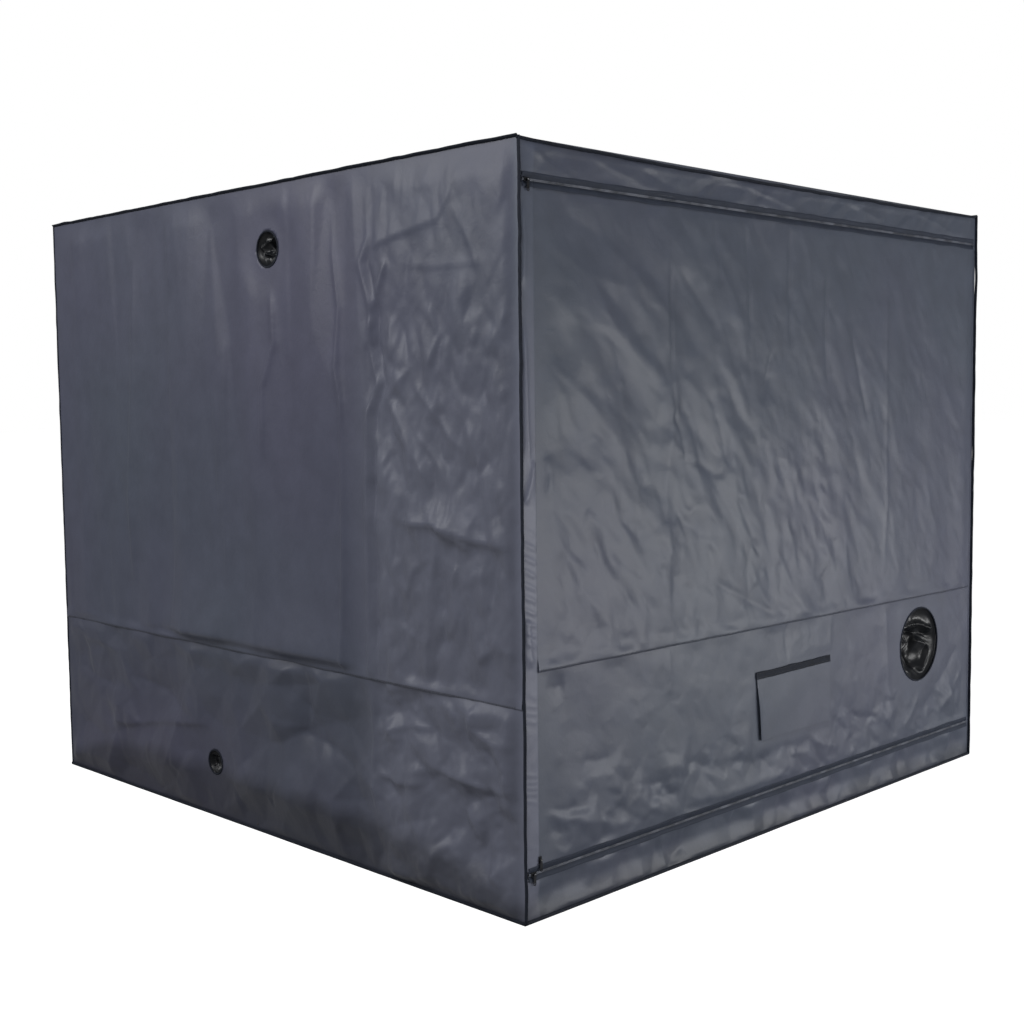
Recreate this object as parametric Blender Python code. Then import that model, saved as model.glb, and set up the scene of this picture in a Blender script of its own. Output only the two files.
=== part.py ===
# Indoor grow tent: a steel tube frame in moulded connectors, under a cover of sewn cloth
# whose front wall is one zipped door with a duct port and a screened vent.
# Metres, +Z up, origin at the centre of the underside, the door wall facing -Y.
import math

import bmesh
import bpy
from mathutils import Matrix, Vector

# Overall size, measured over the bound seams
WIDTH = 2.4
DEPTH = 2.4
HEIGHT = 2.0

# Cloth, its bound seams and the clearance between pieces
CLOTH = 0.0015
SEAM_FIN = 0.010
GAP = 0.0003
CUT_OVERRUN = 0.02

# Steel tubes and moulded connectors
TUBE_RADIUS = 0.0095
TUBE_WALL = 0.0009
SOCKET_WALL = 0.0027
HUB_RADIUS = 0.0145
SOCKET_FLOOR = 0.0125
SOCKET_REACH = 0.058
TUBE_SIDES = 12

# Hanging bars for lamps, clipped on the front and back top rails
BAR_SPREAD = 1.2
CLIP_WALL = 0.0026
CLIP_WIDTH = 0.020
CLIP_MOUTH_SIDES = 4
FERRULE_LENGTH = 0.045
FERRULE_WALL = 0.0016

# Zips: the top one's drop from the roof, the bottom one's height, the upright one's inset
ZIP_TOP_DROP = 0.105
ZIP_BOTTOM = 0.128
SIDE_ZIP_INSET = 0.066
ZIP_SLOT = 0.020
ZIP_END_MARGIN = 0.012
TAPE_WIDTH = 0.028
TAPE = 0.0008
CHAIN_WIDTH = 0.006
CHAIN_RISE = 0.002
CHAIN_NECK = 0.003
NECK_RISE = 0.0014
SLIDER_WALL = 0.0012
SLIDER_LENGTH = 0.019
SLIDER_REST = 0.008
BAIL_RADIUS = 0.001
BAIL_LUG = 0.0012
EYE_WALL = 0.0013
EYE_WIDTH = 0.006
TAB_LENGTH = 0.030
TAB_WIDTH = 0.009
TAB_THICKNESS = 0.0014
TAB_HOLE = 0.0024
SMALL_SIDES = 10

# Gathered port sleeves: holes in the cloth, their binding rings and their throats
SLEEVE = 0.001
RING_WIDTH = 0.012
RING_RISE = 0.0022
DUCT_HOLE = 0.128
DUCT_THROAT = 0.036
DUCT_DEPTH = 0.085
DUCT_PLEATS = 10
CABLE_THROAT = 0.016
CABLE_DEPTH = 0.046
CABLE_PLEATS = 6
STEPS_PER_PLEAT = 3
SLEEVE_SHARES = ((0.10, 0.40, 0.0), (0.52, 0.78, 0.09), (1.0, 1.0, 0.16))

# Places of the ports: inset from the wall's end or distance from its middle, and height or
# drop from the roof
FRONT_DUCT_INSET = 0.385
FRONT_DUCT_Z = 0.469
BACK_DUCT_INSET = 0.50
BACK_DUCT_DROP = 0.38
UPPER_CABLE_Y = -0.133
UPPER_CABLE_DROP = 0.192
UPPER_CABLE_HOLE = 0.052
LOWER_CABLE_Y = 0.224
LOWER_CABLE_Z = 0.179
LOWER_CABLE_HOLE = 0.038

# Screened vent in the door, under a flap that hangs from a header strip
VENT_X = 0.0275
VENT_WIDTH = 0.36
VENT_HEIGHT = 0.155
FLAP_WIDTH = 0.405
FLAP_DROP = 0.193
HEADER_BOTTOM = 0.489
HEADER_HEIGHT = 0.020
HEADER_RISE = 0.003
MESH_BORDER = 0.012
MESH_STRAND = 0.004
MESH_THICKNESS = 0.0008
MESH_COLUMNS = 8
MESH_ROWS = 3
FLAP_FLARE = 0.0045

# Loose floor tray
TRAY_MARGIN = 0.004
TRAY_WALL = 0.0012
TRAY_HEIGHT = 0.10

# Horizontal seams and the folds of the hanging cloth
FRONT_SEAM = 0.648
FRONT_SEAM_DROP = 0.016
SIDE_SEAM = 0.566
SEAM_LIP = 0.0022
SEAM_LIP_HEIGHT = 0.012
FLAT_EDGE = 0.07
FLAT_PORT = 0.03
FADE = 0.16
FOLD = 0.006

# Folds as shares of their wall: across, up, lean in turns, half width, half length, rise
DOOR_FOLD_SHARES = (
    (0.247, 0.62, 0.0, 0.020, 0.60, 0.55),
    (0.404, 0.55, 0.0, 0.022, 0.70, 0.60),
    (0.498, 0.60, 0.0, 0.018, 0.60, 0.80),
    (0.601, 0.50, 0.0, 0.022, 0.70, 0.55),
    (0.755, 0.58, 0.0, 0.020, 0.60, 0.60),
    (0.10, 0.80, 0.10, 0.035, 0.20, 0.85),
    (0.19, 0.74, 0.14, 0.030, 0.16, 0.65),
    (0.33, 0.22, -0.06, 0.030, 0.10, 0.60),
    (0.62, 0.16, 0.08, 0.030, 0.10, 0.55),
)
LEFT_FOLD_SHARES = (
    (0.7525, 0.62, 0.0, 0.018, 0.50, 0.75),
    (0.706, 0.60, 0.0, 0.018, 0.55, 0.55),
    (0.2196, 0.60, 0.0, 0.020, 0.60, 0.60),
    (0.46, 0.33, 0.25, 0.050, 0.24, 0.95),
    (0.88, 0.55, 0.03, 0.026, 0.20, 0.80),
    (0.93, 0.40, -0.04, 0.022, 0.14, 0.70),
    (0.83, 0.17, 0.17, 0.040, 0.10, 0.85),
    (0.60, 0.13, 0.22, 0.040, 0.12, 0.70),
    (0.25, 0.15, 0.20, 0.040, 0.12, 0.60),
)
PLAIN_FOLD_SHARES = (
    (0.25, 0.60, 0.0, 0.06, 0.60, 0.55),
    (0.50, 0.60, 0.0, 0.06, 0.60, 0.65),
    (0.75, 0.60, 0.0, 0.06, 0.60, 0.55),
)

# Places worked out from the sizes above
WALL_X = WIDTH / 2 - SEAM_FIN
WALL_Y = DEPTH / 2 - SEAM_FIN
WALL_BOTTOM = CLOTH + GAP
WALL_TOP = HEIGHT - CLOTH - GAP
FRAME_INSET = CLOTH + GAP + HUB_RADIUS
AXIS_X = WALL_X - FRAME_INSET
AXIS_Y = WALL_Y - FRAME_INSET
AXIS_BOTTOM = FRAME_INSET
AXIS_TOP = HEIGHT - FRAME_INSET
FRONT_HALF = WALL_X - CLOTH - GAP
ZIP_END = FRONT_HALF - ZIP_END_MARGIN
SIDE_ZIP_X = SIDE_ZIP_INSET - WIDTH / 2
ZIP_TOP = HEIGHT - ZIP_TOP_DROP
HINGE_X = ZIP_END - GAP
DOOR_WIDTH = HINGE_X - SIDE_ZIP_X - ZIP_SLOT / 2
DOOR_BOTTOM = ZIP_BOTTOM + ZIP_SLOT / 2
DOOR_HEIGHT = ZIP_TOP - ZIP_SLOT / 2 - DOOR_BOTTOM
TAPE_FRONT = CLOTH + GAP - WALL_Y
FRONT_DUCT_X = WIDTH / 2 - FRONT_DUCT_INSET
BACK_DUCT_X = BACK_DUCT_INSET - WIDTH / 2
BACK_DUCT_Z = HEIGHT - BACK_DUCT_DROP
UPPER_CABLE_Z = HEIGHT - UPPER_CABLE_DROP
BAIL_OUT = NECK_RISE + CHAIN_RISE + GAP + SLIDER_WALL + BAIL_RADIUS + GAP + EYE_WALL + GAP


def clear_scene():
    for old in list(bpy.data.objects):
        bpy.data.objects.remove(old, do_unlink=True)


def make_material(name, colour, roughness, metallic):
    """A plain surface with the colour of one kind of piece."""
    material = bpy.data.materials.new(name)
    material.use_nodes = True
    shader = material.node_tree.nodes["Principled BSDF"]
    shader.inputs["Base Color"].default_value = (*colour, 1.0)
    shader.inputs["Roughness"].default_value = roughness
    shader.inputs["Metallic"].default_value = metallic
    material.diffuse_color = (*colour, 1.0)
    return material


def add(name, mesh, material, location=(0.0, 0.0, 0.0), turn=0.0):
    """One named sub-part, turned about +Z and set in place."""
    piece = bpy.data.objects.new(name, mesh)
    bpy.context.collection.objects.link(piece)
    piece.location = location
    piece.rotation_euler = (0.0, 0.0, turn)
    mesh.materials.clear()
    mesh.materials.append(material)
    return piece


def carry(parent, *children):
    """Parent the children where they stand."""
    bpy.context.view_layer.update()
    for child in children:
        child.parent = parent
        child.matrix_parent_inverse = parent.matrix_world.inverted()


def to_mesh(name, work, smooth=False):
    bmesh.ops.recalc_face_normals(work, faces=work.faces)
    mesh = bpy.data.meshes.new(name)
    work.to_mesh(mesh)
    work.free()
    if smooth:
        mesh.shade_smooth()
        mesh.set_sharp_from_angle(angle=math.radians(40))
    return mesh


def box(name, low, high):
    """A box between two corners."""
    work = bmesh.new()
    bmesh.ops.create_cube(work, size=1)
    for vertex in work.verts:
        for axis in range(3):
            vertex.co[axis] = high[axis] if vertex.co[axis] > 0 else low[axis]
    return to_mesh(name, work)


def prism(name, outline, depth, frame=Matrix.Identity(4)):
    """Extrude an outline in X and Z along Y, centred on Y, then move it by frame."""
    work = bmesh.new()
    face = work.faces.new([work.verts.new((x, -depth / 2, z)) for x, z in outline])
    grown = bmesh.ops.extrude_face_region(work, geom=[face])
    moved = [item for item in grown["geom"] if isinstance(item, bmesh.types.BMVert)]
    bmesh.ops.translate(work, verts=moved, vec=(0.0, depth, 0.0))
    bmesh.ops.transform(work, matrix=frame, verts=work.verts)
    return to_mesh(name, work)


def ring_solid(name, rings, smooth=True):
    """A closed solid that joins rings of equal count, the last ring to the first."""
    work = bmesh.new()
    loops = [[work.verts.new(point) for point in ring] for ring in rings]
    for here, there in zip(loops, loops[1:] + loops[:1]):
        for k in range(len(here)):
            after = (k + 1) % len(here)
            work.faces.new((here[k], here[after], there[after], there[k]))
    return to_mesh(name, work, smooth)


def circle(radius, height, sides):
    turns = [2 * math.pi * k / sides for k in range(sides)]
    return [Vector((radius * math.cos(t), radius * math.sin(t), height)) for t in turns]


def pipe(name, outer, inner, length, sides):
    """An open pipe about Z, from zero to its length."""
    profile = ((outer, 0.0), (outer, length), (inner, length), (inner, 0.0))
    return ring_solid(name, [circle(radius, height, sides) for radius, height in profile])


def rod(name, steps, sides):
    """A solid turned about Z through steps of radius and height, closed at both ends."""
    work = bmesh.new()
    loops = [[work.verts.new(point) for point in circle(radius, height, sides)]
             for radius, height in steps]
    for here, there in zip(loops, loops[1:]):
        for k in range(sides):
            after = (k + 1) % sides
            work.faces.new((here[k], here[after], there[after], there[k]))
    work.faces.new(loops[0])
    work.faces.new(loops[-1])
    return to_mesh(name, work, True)


def turned(mesh, frame):
    """A copy of the mesh, moved by frame."""
    copy = mesh.copy()
    copy.transform(frame)
    return copy


def along(direction, origin=(0.0, 0.0, 0.0)):
    """The frame whose Z lies along a direction."""
    turn = Vector(direction).to_track_quat("Z", "Y").to_matrix().to_4x4()
    return Matrix.Translation(origin) @ turn


def boolean(mesh, others, operation):
    """The mesh joined with the others, or cut by them, as a new mesh."""
    holder = bpy.data.objects.new(mesh.name, mesh)
    bpy.context.collection.objects.link(holder)
    tools = []
    for other in others:
        tool = bpy.data.objects.new(other.name, other)
        bpy.context.collection.objects.link(tool)
        step = holder.modifiers.new("Boolean", "BOOLEAN")
        step.operation = operation
        step.solver = "EXACT"
        step.object = tool
        tools.append(tool)
    seen = holder.evaluated_get(bpy.context.evaluated_depsgraph_get())
    result = bpy.data.meshes.new_from_object(seen)
    for used in [holder, *tools]:
        bpy.data.objects.remove(used, do_unlink=True)
    return result


def cut(piece, name, cutter_mesh):
    """Leave a live Boolean cut on a piece; the cutter is placed in the piece's own frame."""
    cutter = bpy.data.objects.new(name, cutter_mesh)
    bpy.context.collection.objects.link(cutter)
    bpy.context.view_layer.update()
    cutter.matrix_world = piece.matrix_world.copy()
    cutter.hide_render = True
    cutter.display_type = "WIRE"
    step = piece.modifiers.new(name, "BOOLEAN")
    step.operation = "DIFFERENCE"
    step.solver = "EXACT"
    step.object = cutter
    return cutter


# Frame


def connector_mesh(name, directions):
    """A moulded hub with one socket for a tube in each direction."""
    outer = TUBE_RADIUS + GAP + SOCKET_WALL
    bore = TUBE_RADIUS + GAP
    work = bmesh.new()
    bmesh.ops.create_uvsphere(work, u_segments=8, v_segments=6, radius=HUB_RADIUS)
    hub = to_mesh(name, work)
    arm = rod("arm", ((outer, 0.0), (outer, SOCKET_REACH)), TUBE_SIDES)
    hole = rod("hole", ((bore, SOCKET_FLOOR), (bore, SOCKET_REACH + CUT_OVERRUN)), TUBE_SIDES)
    joined = boolean(hub, [turned(arm, along(way)) for way in directions], "UNION")
    socketed = boolean(joined, [turned(hole, along(way)) for way in directions], "DIFFERENCE")
    socketed.shade_smooth()
    socketed.set_sharp_from_angle(angle=math.radians(40))
    return socketed


def add_connectors(plastic):
    """Eight corner connectors, and tees where the side and back rails meet their posts."""
    low = connector_mesh("corner_low", ((1, 0, 0), (0, 1, 0), (0, 0, 1)))
    high = connector_mesh("corner_high", ((1, 0, 0), (0, 1, 0), (0, 0, -1)))
    corners = (("front_left", -1, -1, 0.0), ("front_right", 1, -1, 0.5),
               ("back_right", 1, 1, 1.0), ("back_left", -1, 1, -0.5))
    for level, mesh, z in (("bottom", low, AXIS_BOTTOM), ("top", high, AXIS_TOP)):
        for name, x, y, half_turns in corners:
            place = (x * AXIS_X, y * AXIS_Y, z)
            add(f"corner_{level}_{name}", mesh.copy(), plastic, place, half_turns * math.pi)
    tee_low = connector_mesh("tee_low", ((1, 0, 0), (-1, 0, 0), (0, 0, 1)))
    tee_high = connector_mesh("tee_high", ((1, 0, 0), (-1, 0, 0), (0, 0, -1)))
    tees = (("back", 0.0, AXIS_Y, 0.0), ("left", -AXIS_X, 0.0, 0.5), ("right", AXIS_X, 0.0, 0.5))
    for level, mesh, z in (("bottom", tee_low, AXIS_BOTTOM), ("top", tee_high, AXIS_TOP)):
        for name, x, y, half_turns in tees:
            add(f"tee_{level}_{name}", mesh.copy(), plastic, (x, y, z), half_turns * math.pi)


def add_tube(name, start, end, paint):
    """A steel tube between two hub centres, seated in the sockets at both."""
    start = Vector(start)
    way = (Vector(end) - start).normalized()
    seat = SOCKET_FLOOR + GAP
    length = (Vector(end) - start).length - 2 * seat
    mesh = pipe(name, TUBE_RADIUS, TUBE_RADIUS - TUBE_WALL, length, TUBE_SIDES)
    piece = add(name, mesh, paint)
    piece.matrix_world = along(way, start + way * seat)


def add_tubes(paint):
    """Rails round the floor and roof, corner posts and the posts between them."""
    for level, z in (("bottom", AXIS_BOTTOM), ("top", AXIS_TOP)):
        add_tube(f"rail_{level}_front", (-AXIS_X, -AXIS_Y, z), (AXIS_X, -AXIS_Y, z), paint)
        for side, x in (("left", -AXIS_X), ("right", AXIS_X)):
            add_tube(f"rail_{level}_back_{side}", (0.0, AXIS_Y, z), (x, AXIS_Y, z), paint)
            for end, y in (("front", -AXIS_Y), ("rear", AXIS_Y)):
                add_tube(f"rail_{level}_{side}_{end}", (x, 0.0, z), (x, y, z), paint)
    posts = {"post_front_left": (-AXIS_X, -AXIS_Y), "post_front_right": (AXIS_X, -AXIS_Y),
             "post_back_right": (AXIS_X, AXIS_Y), "post_back_left": (-AXIS_X, AXIS_Y),
             "post_mid_back": (0.0, AXIS_Y), "post_mid_left": (-AXIS_X, 0.0),
             "post_mid_right": (AXIS_X, 0.0)}
    for name, (x, y) in posts.items():
        add_tube(name, (x, y, AXIS_BOTTOM), (x, y, AXIS_TOP), paint)


def bar_mesh():
    """A bar along Y with a ferrule at each end and a clip that hooks over each top rail."""
    inner = TUBE_RADIUS + GAP
    outer = inner + CLIP_WALL
    ferrule = TUBE_RADIUS + FERRULE_WALL
    end = AXIS_Y - inner - CLIP_WALL / 2
    neck = end - FERRULE_LENGTH
    steps = ((ferrule, -end), (ferrule, -neck), (TUBE_RADIUS, -neck),
             (TUBE_RADIUS, neck), (ferrule, neck), (ferrule, end))
    bar = turned(rod("bar", steps, TUBE_SIDES), along((0, 1, 0)))
    first = CLIP_MOUTH_SIDES // 2
    turns = [2 * math.pi * k / TUBE_SIDES for k in range(first, TUBE_SIDES - first + 1)]
    outline = [(outer * math.sin(t), -outer * math.cos(t)) for t in turns]
    outline += [(inner * math.sin(t), -inner * math.cos(t)) for t in reversed(turns)]
    quarter = Matrix.Rotation(math.pi / 2, 4, "Z")
    clips = [prism("clip", outline, CLIP_WIDTH, Matrix.Translation((0.0, y, 0.0)) @ quarter)
             for y in (-AXIS_Y, AXIS_Y)]
    mesh = boolean(bar, clips, "UNION")
    mesh.shade_smooth()
    mesh.set_sharp_from_angle(angle=math.radians(40))
    return mesh


def add_hanging_bars(paint):
    mesh = bar_mesh()
    for side, x in (("left", -BAR_SPREAD / 2), ("right", BAR_SPREAD / 2)):
        add(f"hanging_bar_{side}", mesh.copy(), paint, (x, 0.0, AXIS_TOP))


# Cloth cover


def ease(distance, reach):
    """Zero at zero distance, one from reach on, with a smooth start and end."""
    share = min(max(distance / reach, 0.0), 1.0)
    return share * share * (3 - 2 * share)


def fold_rise(x, z, width, height, folds):
    """How far the folds lift the cloth at a point measured from the wall's lower corner."""
    rise = 0.0
    for across, up, lean, half_width, half_length, amount in folds:
        dx = x - across * width
        dz = z - up * height
        turn = lean * 2 * math.pi
        aside = dx * math.cos(turn) - dz * math.sin(turn)
        onward = dx * math.sin(turn) + dz * math.cos(turn)
        narrow = math.exp(-(aside / (half_width * width)) ** 2)
        rise += amount * FOLD * narrow * math.exp(-(onward / (half_length * height)) ** 2)
    return min(rise, FOLD)


def lines_with(count, fixed):
    """Even shares from zero to one, giving way to the fixed ones that fall near them."""
    even = [k / count for k in range(1, count)]
    kept = [line for line in even if all(abs(line - place) * count > 0.4 for place in fixed)]
    return sorted([0.0, 1.0] + kept + list(fixed))


def cloth_mesh(name, left, right, bottom, top, columns, rows, folds, seam, drop, calm):
    """A hanging sheet in X and Z: outer face at Y zero, folds lifted towards -Y.
    The cloth above the seam laps over the cloth below, and each of calm is a flat place:
    its middle in X and Z, and its half width and half height."""
    width = right - left
    height = top - bottom
    seam_share = (seam - bottom) / height
    crests = [fold[0] for fold in folds if fold[2] == 0.0]
    ledges = [seam_share, seam_share - SEAM_LIP_HEIGHT / height]
    for middle_x, middle_z, half_x, half_z in calm:
        for way in (-1, 1):
            crests.append((middle_x + way * (half_x + FLAT_PORT) - left) / width)
            ledges.append((middle_z + way * (half_z + FLAT_PORT) - bottom) / height)
    across = lines_with(columns, crests)
    up = lines_with(rows, ledges)

    def lift(x, z, share):
        edge = min(x - left, right - x, z - bottom, top - z)
        still = ease(edge - FLAT_EDGE / 2, FLAT_EDGE)
        for middle_x, middle_z, half_x, half_z in calm:
            away = max(abs(x - middle_x) - half_x, abs(z - middle_z) - half_z) - FLAT_PORT
            still = min(still, ease(away, FADE))
        lap = SEAM_LIP * ease(seam_share + 1 / rows - share, 1 / rows)
        lap = lap if share >= seam_share else 0.0
        return still * (fold_rise(x - left, z - bottom, width, height, folds) + lap)

    def point(column, row, inner):
        slope = row / seam_share if row < seam_share else (1 - row) / (1 - seam_share)
        x = left + width * column
        z = bottom + height * row + drop * (0.5 - column) * slope
        return (x, inner - lift(x, z, row), z)

    work = bmesh.new()
    sheets = [[[work.verts.new(point(column, row, inner)) for row in up] for column in across]
              for inner in (0.0, CLOTH)]
    for sheet in sheets:
        for here, there in zip(sheet, sheet[1:]):
            for k in range(len(up) - 1):
                work.faces.new((here[k], there[k], there[k + 1], here[k + 1]))
    outer, inner = sheets
    edges = ([column[0] for column in outer], [column[0] for column in inner]), \
            ([column[-1] for column in outer], [column[-1] for column in inner]), \
            (outer[0], inner[0]), (outer[-1], inner[-1])
    for front, back in edges:
        for k in range(len(front) - 1):
            work.faces.new((front[k], front[k + 1], back[k + 1], back[k]))
    return to_mesh(name, work, True)


def port_cutter(x, z, radius, pleats):
    """A drill along Y through the cloth at a port."""
    steps = ((radius, -CUT_OVERRUN), (radius, CUT_OVERRUN))
    drill = rod("port_cutter", steps, pleats * STEPS_PER_PLEAT)
    return turned(drill, Matrix.Translation((x, 0.0, z)) @ Matrix.Rotation(-math.pi / 2, 4, "X"))


def sleeve_mesh(name, hole, throat, depth, pleats):
    """A binding ring on the cloth's outer face and a sleeve gathered inward to a throat.
    Local axes are the wall's: outward is -Y, and the port's axis runs through the origin."""
    sides = pleats * STEPS_PER_PLEAT
    neck = hole - GAP - SLEEVE
    rings = [(hole + RING_WIDTH, -GAP - RING_RISE, 0.0), (neck, -GAP - RING_RISE, 0.0)]
    front = [(neck - (neck - throat) * closing, depth * deep, pleat)
             for closing, deep, pleat in SLEEVE_SHARES]
    before = [(neck, -GAP, 0.0)] + front[:-1]
    back = []
    for (r0, y0, _), (r1, y1, pleat) in zip(before, front):
        span = math.hypot(r1 - r0, y1 - y0)
        back.append((r1 + SLEEVE * (y1 - y0) / span, y1 + SLEEVE * (r0 - r1) / span, pleat))
    rings += front + back[::-1]
    rings += [(neck + SLEEVE, CLOTH, 0.0), (neck + SLEEVE, -GAP, 0.0)]
    rings += [(hole + RING_WIDTH, -GAP, 0.0)]
    loops = []
    for radius, y, pleat in rings:
        loop = []
        for k in range(sides):
            turn = 2 * math.pi * k / sides
            swing = radius * (1 + pleat * math.cos(pleats * turn))
            loop.append(Vector((swing * math.cos(turn), y, swing * math.sin(turn))))
        loops.append(loop)
    return ring_solid(name, loops)


def add_side_walls(cloth):
    """Left, right and back walls; the side walls run on past the others as seam fins."""
    side = DEPTH / 2
    upper = (-UPPER_CABLE_Y, UPPER_CABLE_Z, UPPER_CABLE_HOLE)
    lower = (-LOWER_CABLE_Y, LOWER_CABLE_Z, LOWER_CABLE_HOLE)
    calm = [(x, z, hole, hole) for x, z, hole in (upper, lower)]
    mesh = cloth_mesh("left_wall", -side, side, WALL_BOTTOM, WALL_TOP, 18, 14,
                      LEFT_FOLD_SHARES, SIDE_SEAM, 0.0, calm)
    left = add("left_wall", mesh, cloth, (-WALL_X, 0.0, 0.0), -math.pi / 2)
    for name, (x, z, hole) in (("upper_cable_cutter", upper), ("lower_cable_cutter", lower)):
        cut(left, name, port_cutter(x, z, hole, CABLE_PLEATS))
    mesh = cloth_mesh("right_wall", -side, side, WALL_BOTTOM, WALL_TOP, 8, 6,
                      PLAIN_FOLD_SHARES, SIDE_SEAM, 0.0, ())
    add("right_wall", mesh, cloth, (WALL_X, 0.0, 0.0), math.pi / 2)
    port = (-BACK_DUCT_X, BACK_DUCT_Z, DUCT_HOLE)
    mesh = cloth_mesh("back_wall", -FRONT_HALF, FRONT_HALF, WALL_BOTTOM, WALL_TOP, 8, 6,
                      PLAIN_FOLD_SHARES, SIDE_SEAM, 0.0, ((*port, DUCT_HOLE),))
    back = add("back_wall", mesh, cloth, (0.0, WALL_Y, 0.0), math.pi)
    cut(back, "back_duct_cutter", port_cutter(*port, DUCT_PLEATS))


def add_flat_sheets(cloth, tray_film):
    """Floor and roof sheets, whose rims are the seam fins, and the loose floor tray."""
    rim = (WIDTH / 2, DEPTH / 2)
    add("floor_sheet", box("floor_sheet", (-rim[0], -rim[1], 0.0), (*rim, CLOTH)), cloth)
    roof = box("roof_panel", (-rim[0], -rim[1], HEIGHT - CLOTH), (*rim, HEIGHT))
    add("roof_panel", roof, cloth)
    half_x = AXIS_X - HUB_RADIUS - TRAY_MARGIN
    half_y = AXIS_Y - HUB_RADIUS - TRAY_MARGIN
    tray = box("floor_tray", (-half_x, -half_y, CLOTH + GAP),
               (half_x, half_y, CLOTH + GAP + TRAY_HEIGHT))
    space = box("tray_space", (TRAY_WALL - half_x, TRAY_WALL - half_y, CLOTH + GAP + TRAY_WALL),
                (half_x - TRAY_WALL, half_y - TRAY_WALL, TRAY_HEIGHT + CUT_OVERRUN))
    add("floor_tray", boolean(tray, [space], "DIFFERENCE"), tray_film)


def add_port_sleeves(lining):
    """The two cable sleeves of the left wall and the duct sleeve of the back wall."""
    cable = (CABLE_THROAT, CABLE_DEPTH, CABLE_PLEATS)
    upper = sleeve_mesh("cable_sleeve_upper", UPPER_CABLE_HOLE, *cable)
    add("cable_sleeve_upper", upper, lining, (-WALL_X, UPPER_CABLE_Y, UPPER_CABLE_Z), -math.pi / 2)
    lower = sleeve_mesh("cable_sleeve_lower", LOWER_CABLE_HOLE, *cable)
    add("cable_sleeve_lower", lower, lining, (-WALL_X, LOWER_CABLE_Y, LOWER_CABLE_Z), -math.pi / 2)
    duct = sleeve_mesh("duct_sleeve_back", DUCT_HOLE, DUCT_THROAT, DUCT_DEPTH, DUCT_PLEATS)
    add("duct_sleeve_back", duct, lining, (BACK_DUCT_X, WALL_Y, BACK_DUCT_Z), math.pi)


def add_front_surround(cloth):
    """The fixed cloth round the door: bands above and below, a strip at each side."""
    y = (-WALL_Y, CLOTH - WALL_Y)
    half = ZIP_SLOT / 2
    base = box("front_surround", (-FRONT_HALF, y[0], WALL_BOTTOM), (FRONT_HALF, y[1], WALL_TOP))
    piece = add("front_surround", base, cloth)
    cuts = (("doorway_cutter", SIDE_ZIP_X - half, ZIP_BOTTOM - half, ZIP_TOP + half),
            ("top_slot_cutter", -ZIP_END, ZIP_TOP - half, ZIP_TOP + half),
            ("bottom_slot_cutter", -ZIP_END, ZIP_BOTTOM - half, ZIP_BOTTOM + half))
    for name, start, low, high in cuts:
        mesh = box(name, (start, y[0] - CUT_OVERRUN, low), (ZIP_END, y[1] + CUT_OVERRUN, high))
        cut(piece, name, mesh)


# Zips


def chain_mesh(name, length):
    """Tape, neck and head of a closed zip along X, centred, with the tape's front at Y zero."""
    tape = TAPE_WIDTH / 2
    neck = CHAIN_NECK / 2
    head = CHAIN_WIDTH / 2
    top = NECK_RISE + CHAIN_RISE
    section = [(-tape, 0.0), (-tape, -TAPE), (tape, -TAPE), (tape, 0.0), (neck, 0.0),
               (neck, NECK_RISE), (head, NECK_RISE), (head, top), (-head, top),
               (-head, NECK_RISE), (-neck, NECK_RISE), (-neck, 0.0)]
    frame = Matrix(((0, 1, 0, 0), (0, 0, -1, 0), (1, 0, 0, 0), (0, 0, 0, 1)))
    return prism(name, section, length, frame)


def slider_mesh(name, bail_across):
    """A slider that hooks behind the chain's head, with a bail for its pull tab.
    Travel is along X; the bail lies along X too, or along Z where it is set across."""
    lip = CHAIN_NECK / 2 + GAP
    room = CHAIN_WIDTH / 2 + GAP
    side = room + SLIDER_WALL
    low = NECK_RISE - GAP
    high = NECK_RISE + CHAIN_RISE + GAP
    top = high + SLIDER_WALL
    section = [(-side, GAP), (-lip, GAP), (-lip, low), (-room, low), (-room, high),
               (room, high), (room, low), (lip, low), (lip, GAP), (side, GAP),
               (side, top), (-side, top)]
    frame = Matrix(((0, 1, 0, 0), (0, 0, -1, 0), (1, 0, 0, 0), (0, 0, 0, 1)))
    body = prism(name, section, SLIDER_LENGTH, frame)
    reach = EYE_WIDTH / 2 + GAP
    lug = BAIL_RADIUS + BAIL_LUG / 2
    parts = []
    for way in (-1, 1):
        ends = sorted((way * reach, way * (reach + BAIL_LUG)))
        low_corner = (ends[0], -BAIL_OUT - lug, -lug)
        high_corner = (ends[1], -top + SLIDER_WALL / 2, lug)
        parts.append(box("lug", low_corner, high_corner))
    steps = ((BAIL_RADIUS, -reach - BAIL_LUG / 2), (BAIL_RADIUS, reach + BAIL_LUG / 2))
    parts.append(turned(rod("bail", steps, 8), along((1, 0, 0), (0.0, -BAIL_OUT, 0.0))))
    if bail_across:
        parts = [turned(part, Matrix.Rotation(math.pi / 2, 4, "Y")) for part in parts]
    return boolean(body, parts, "UNION")


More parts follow.
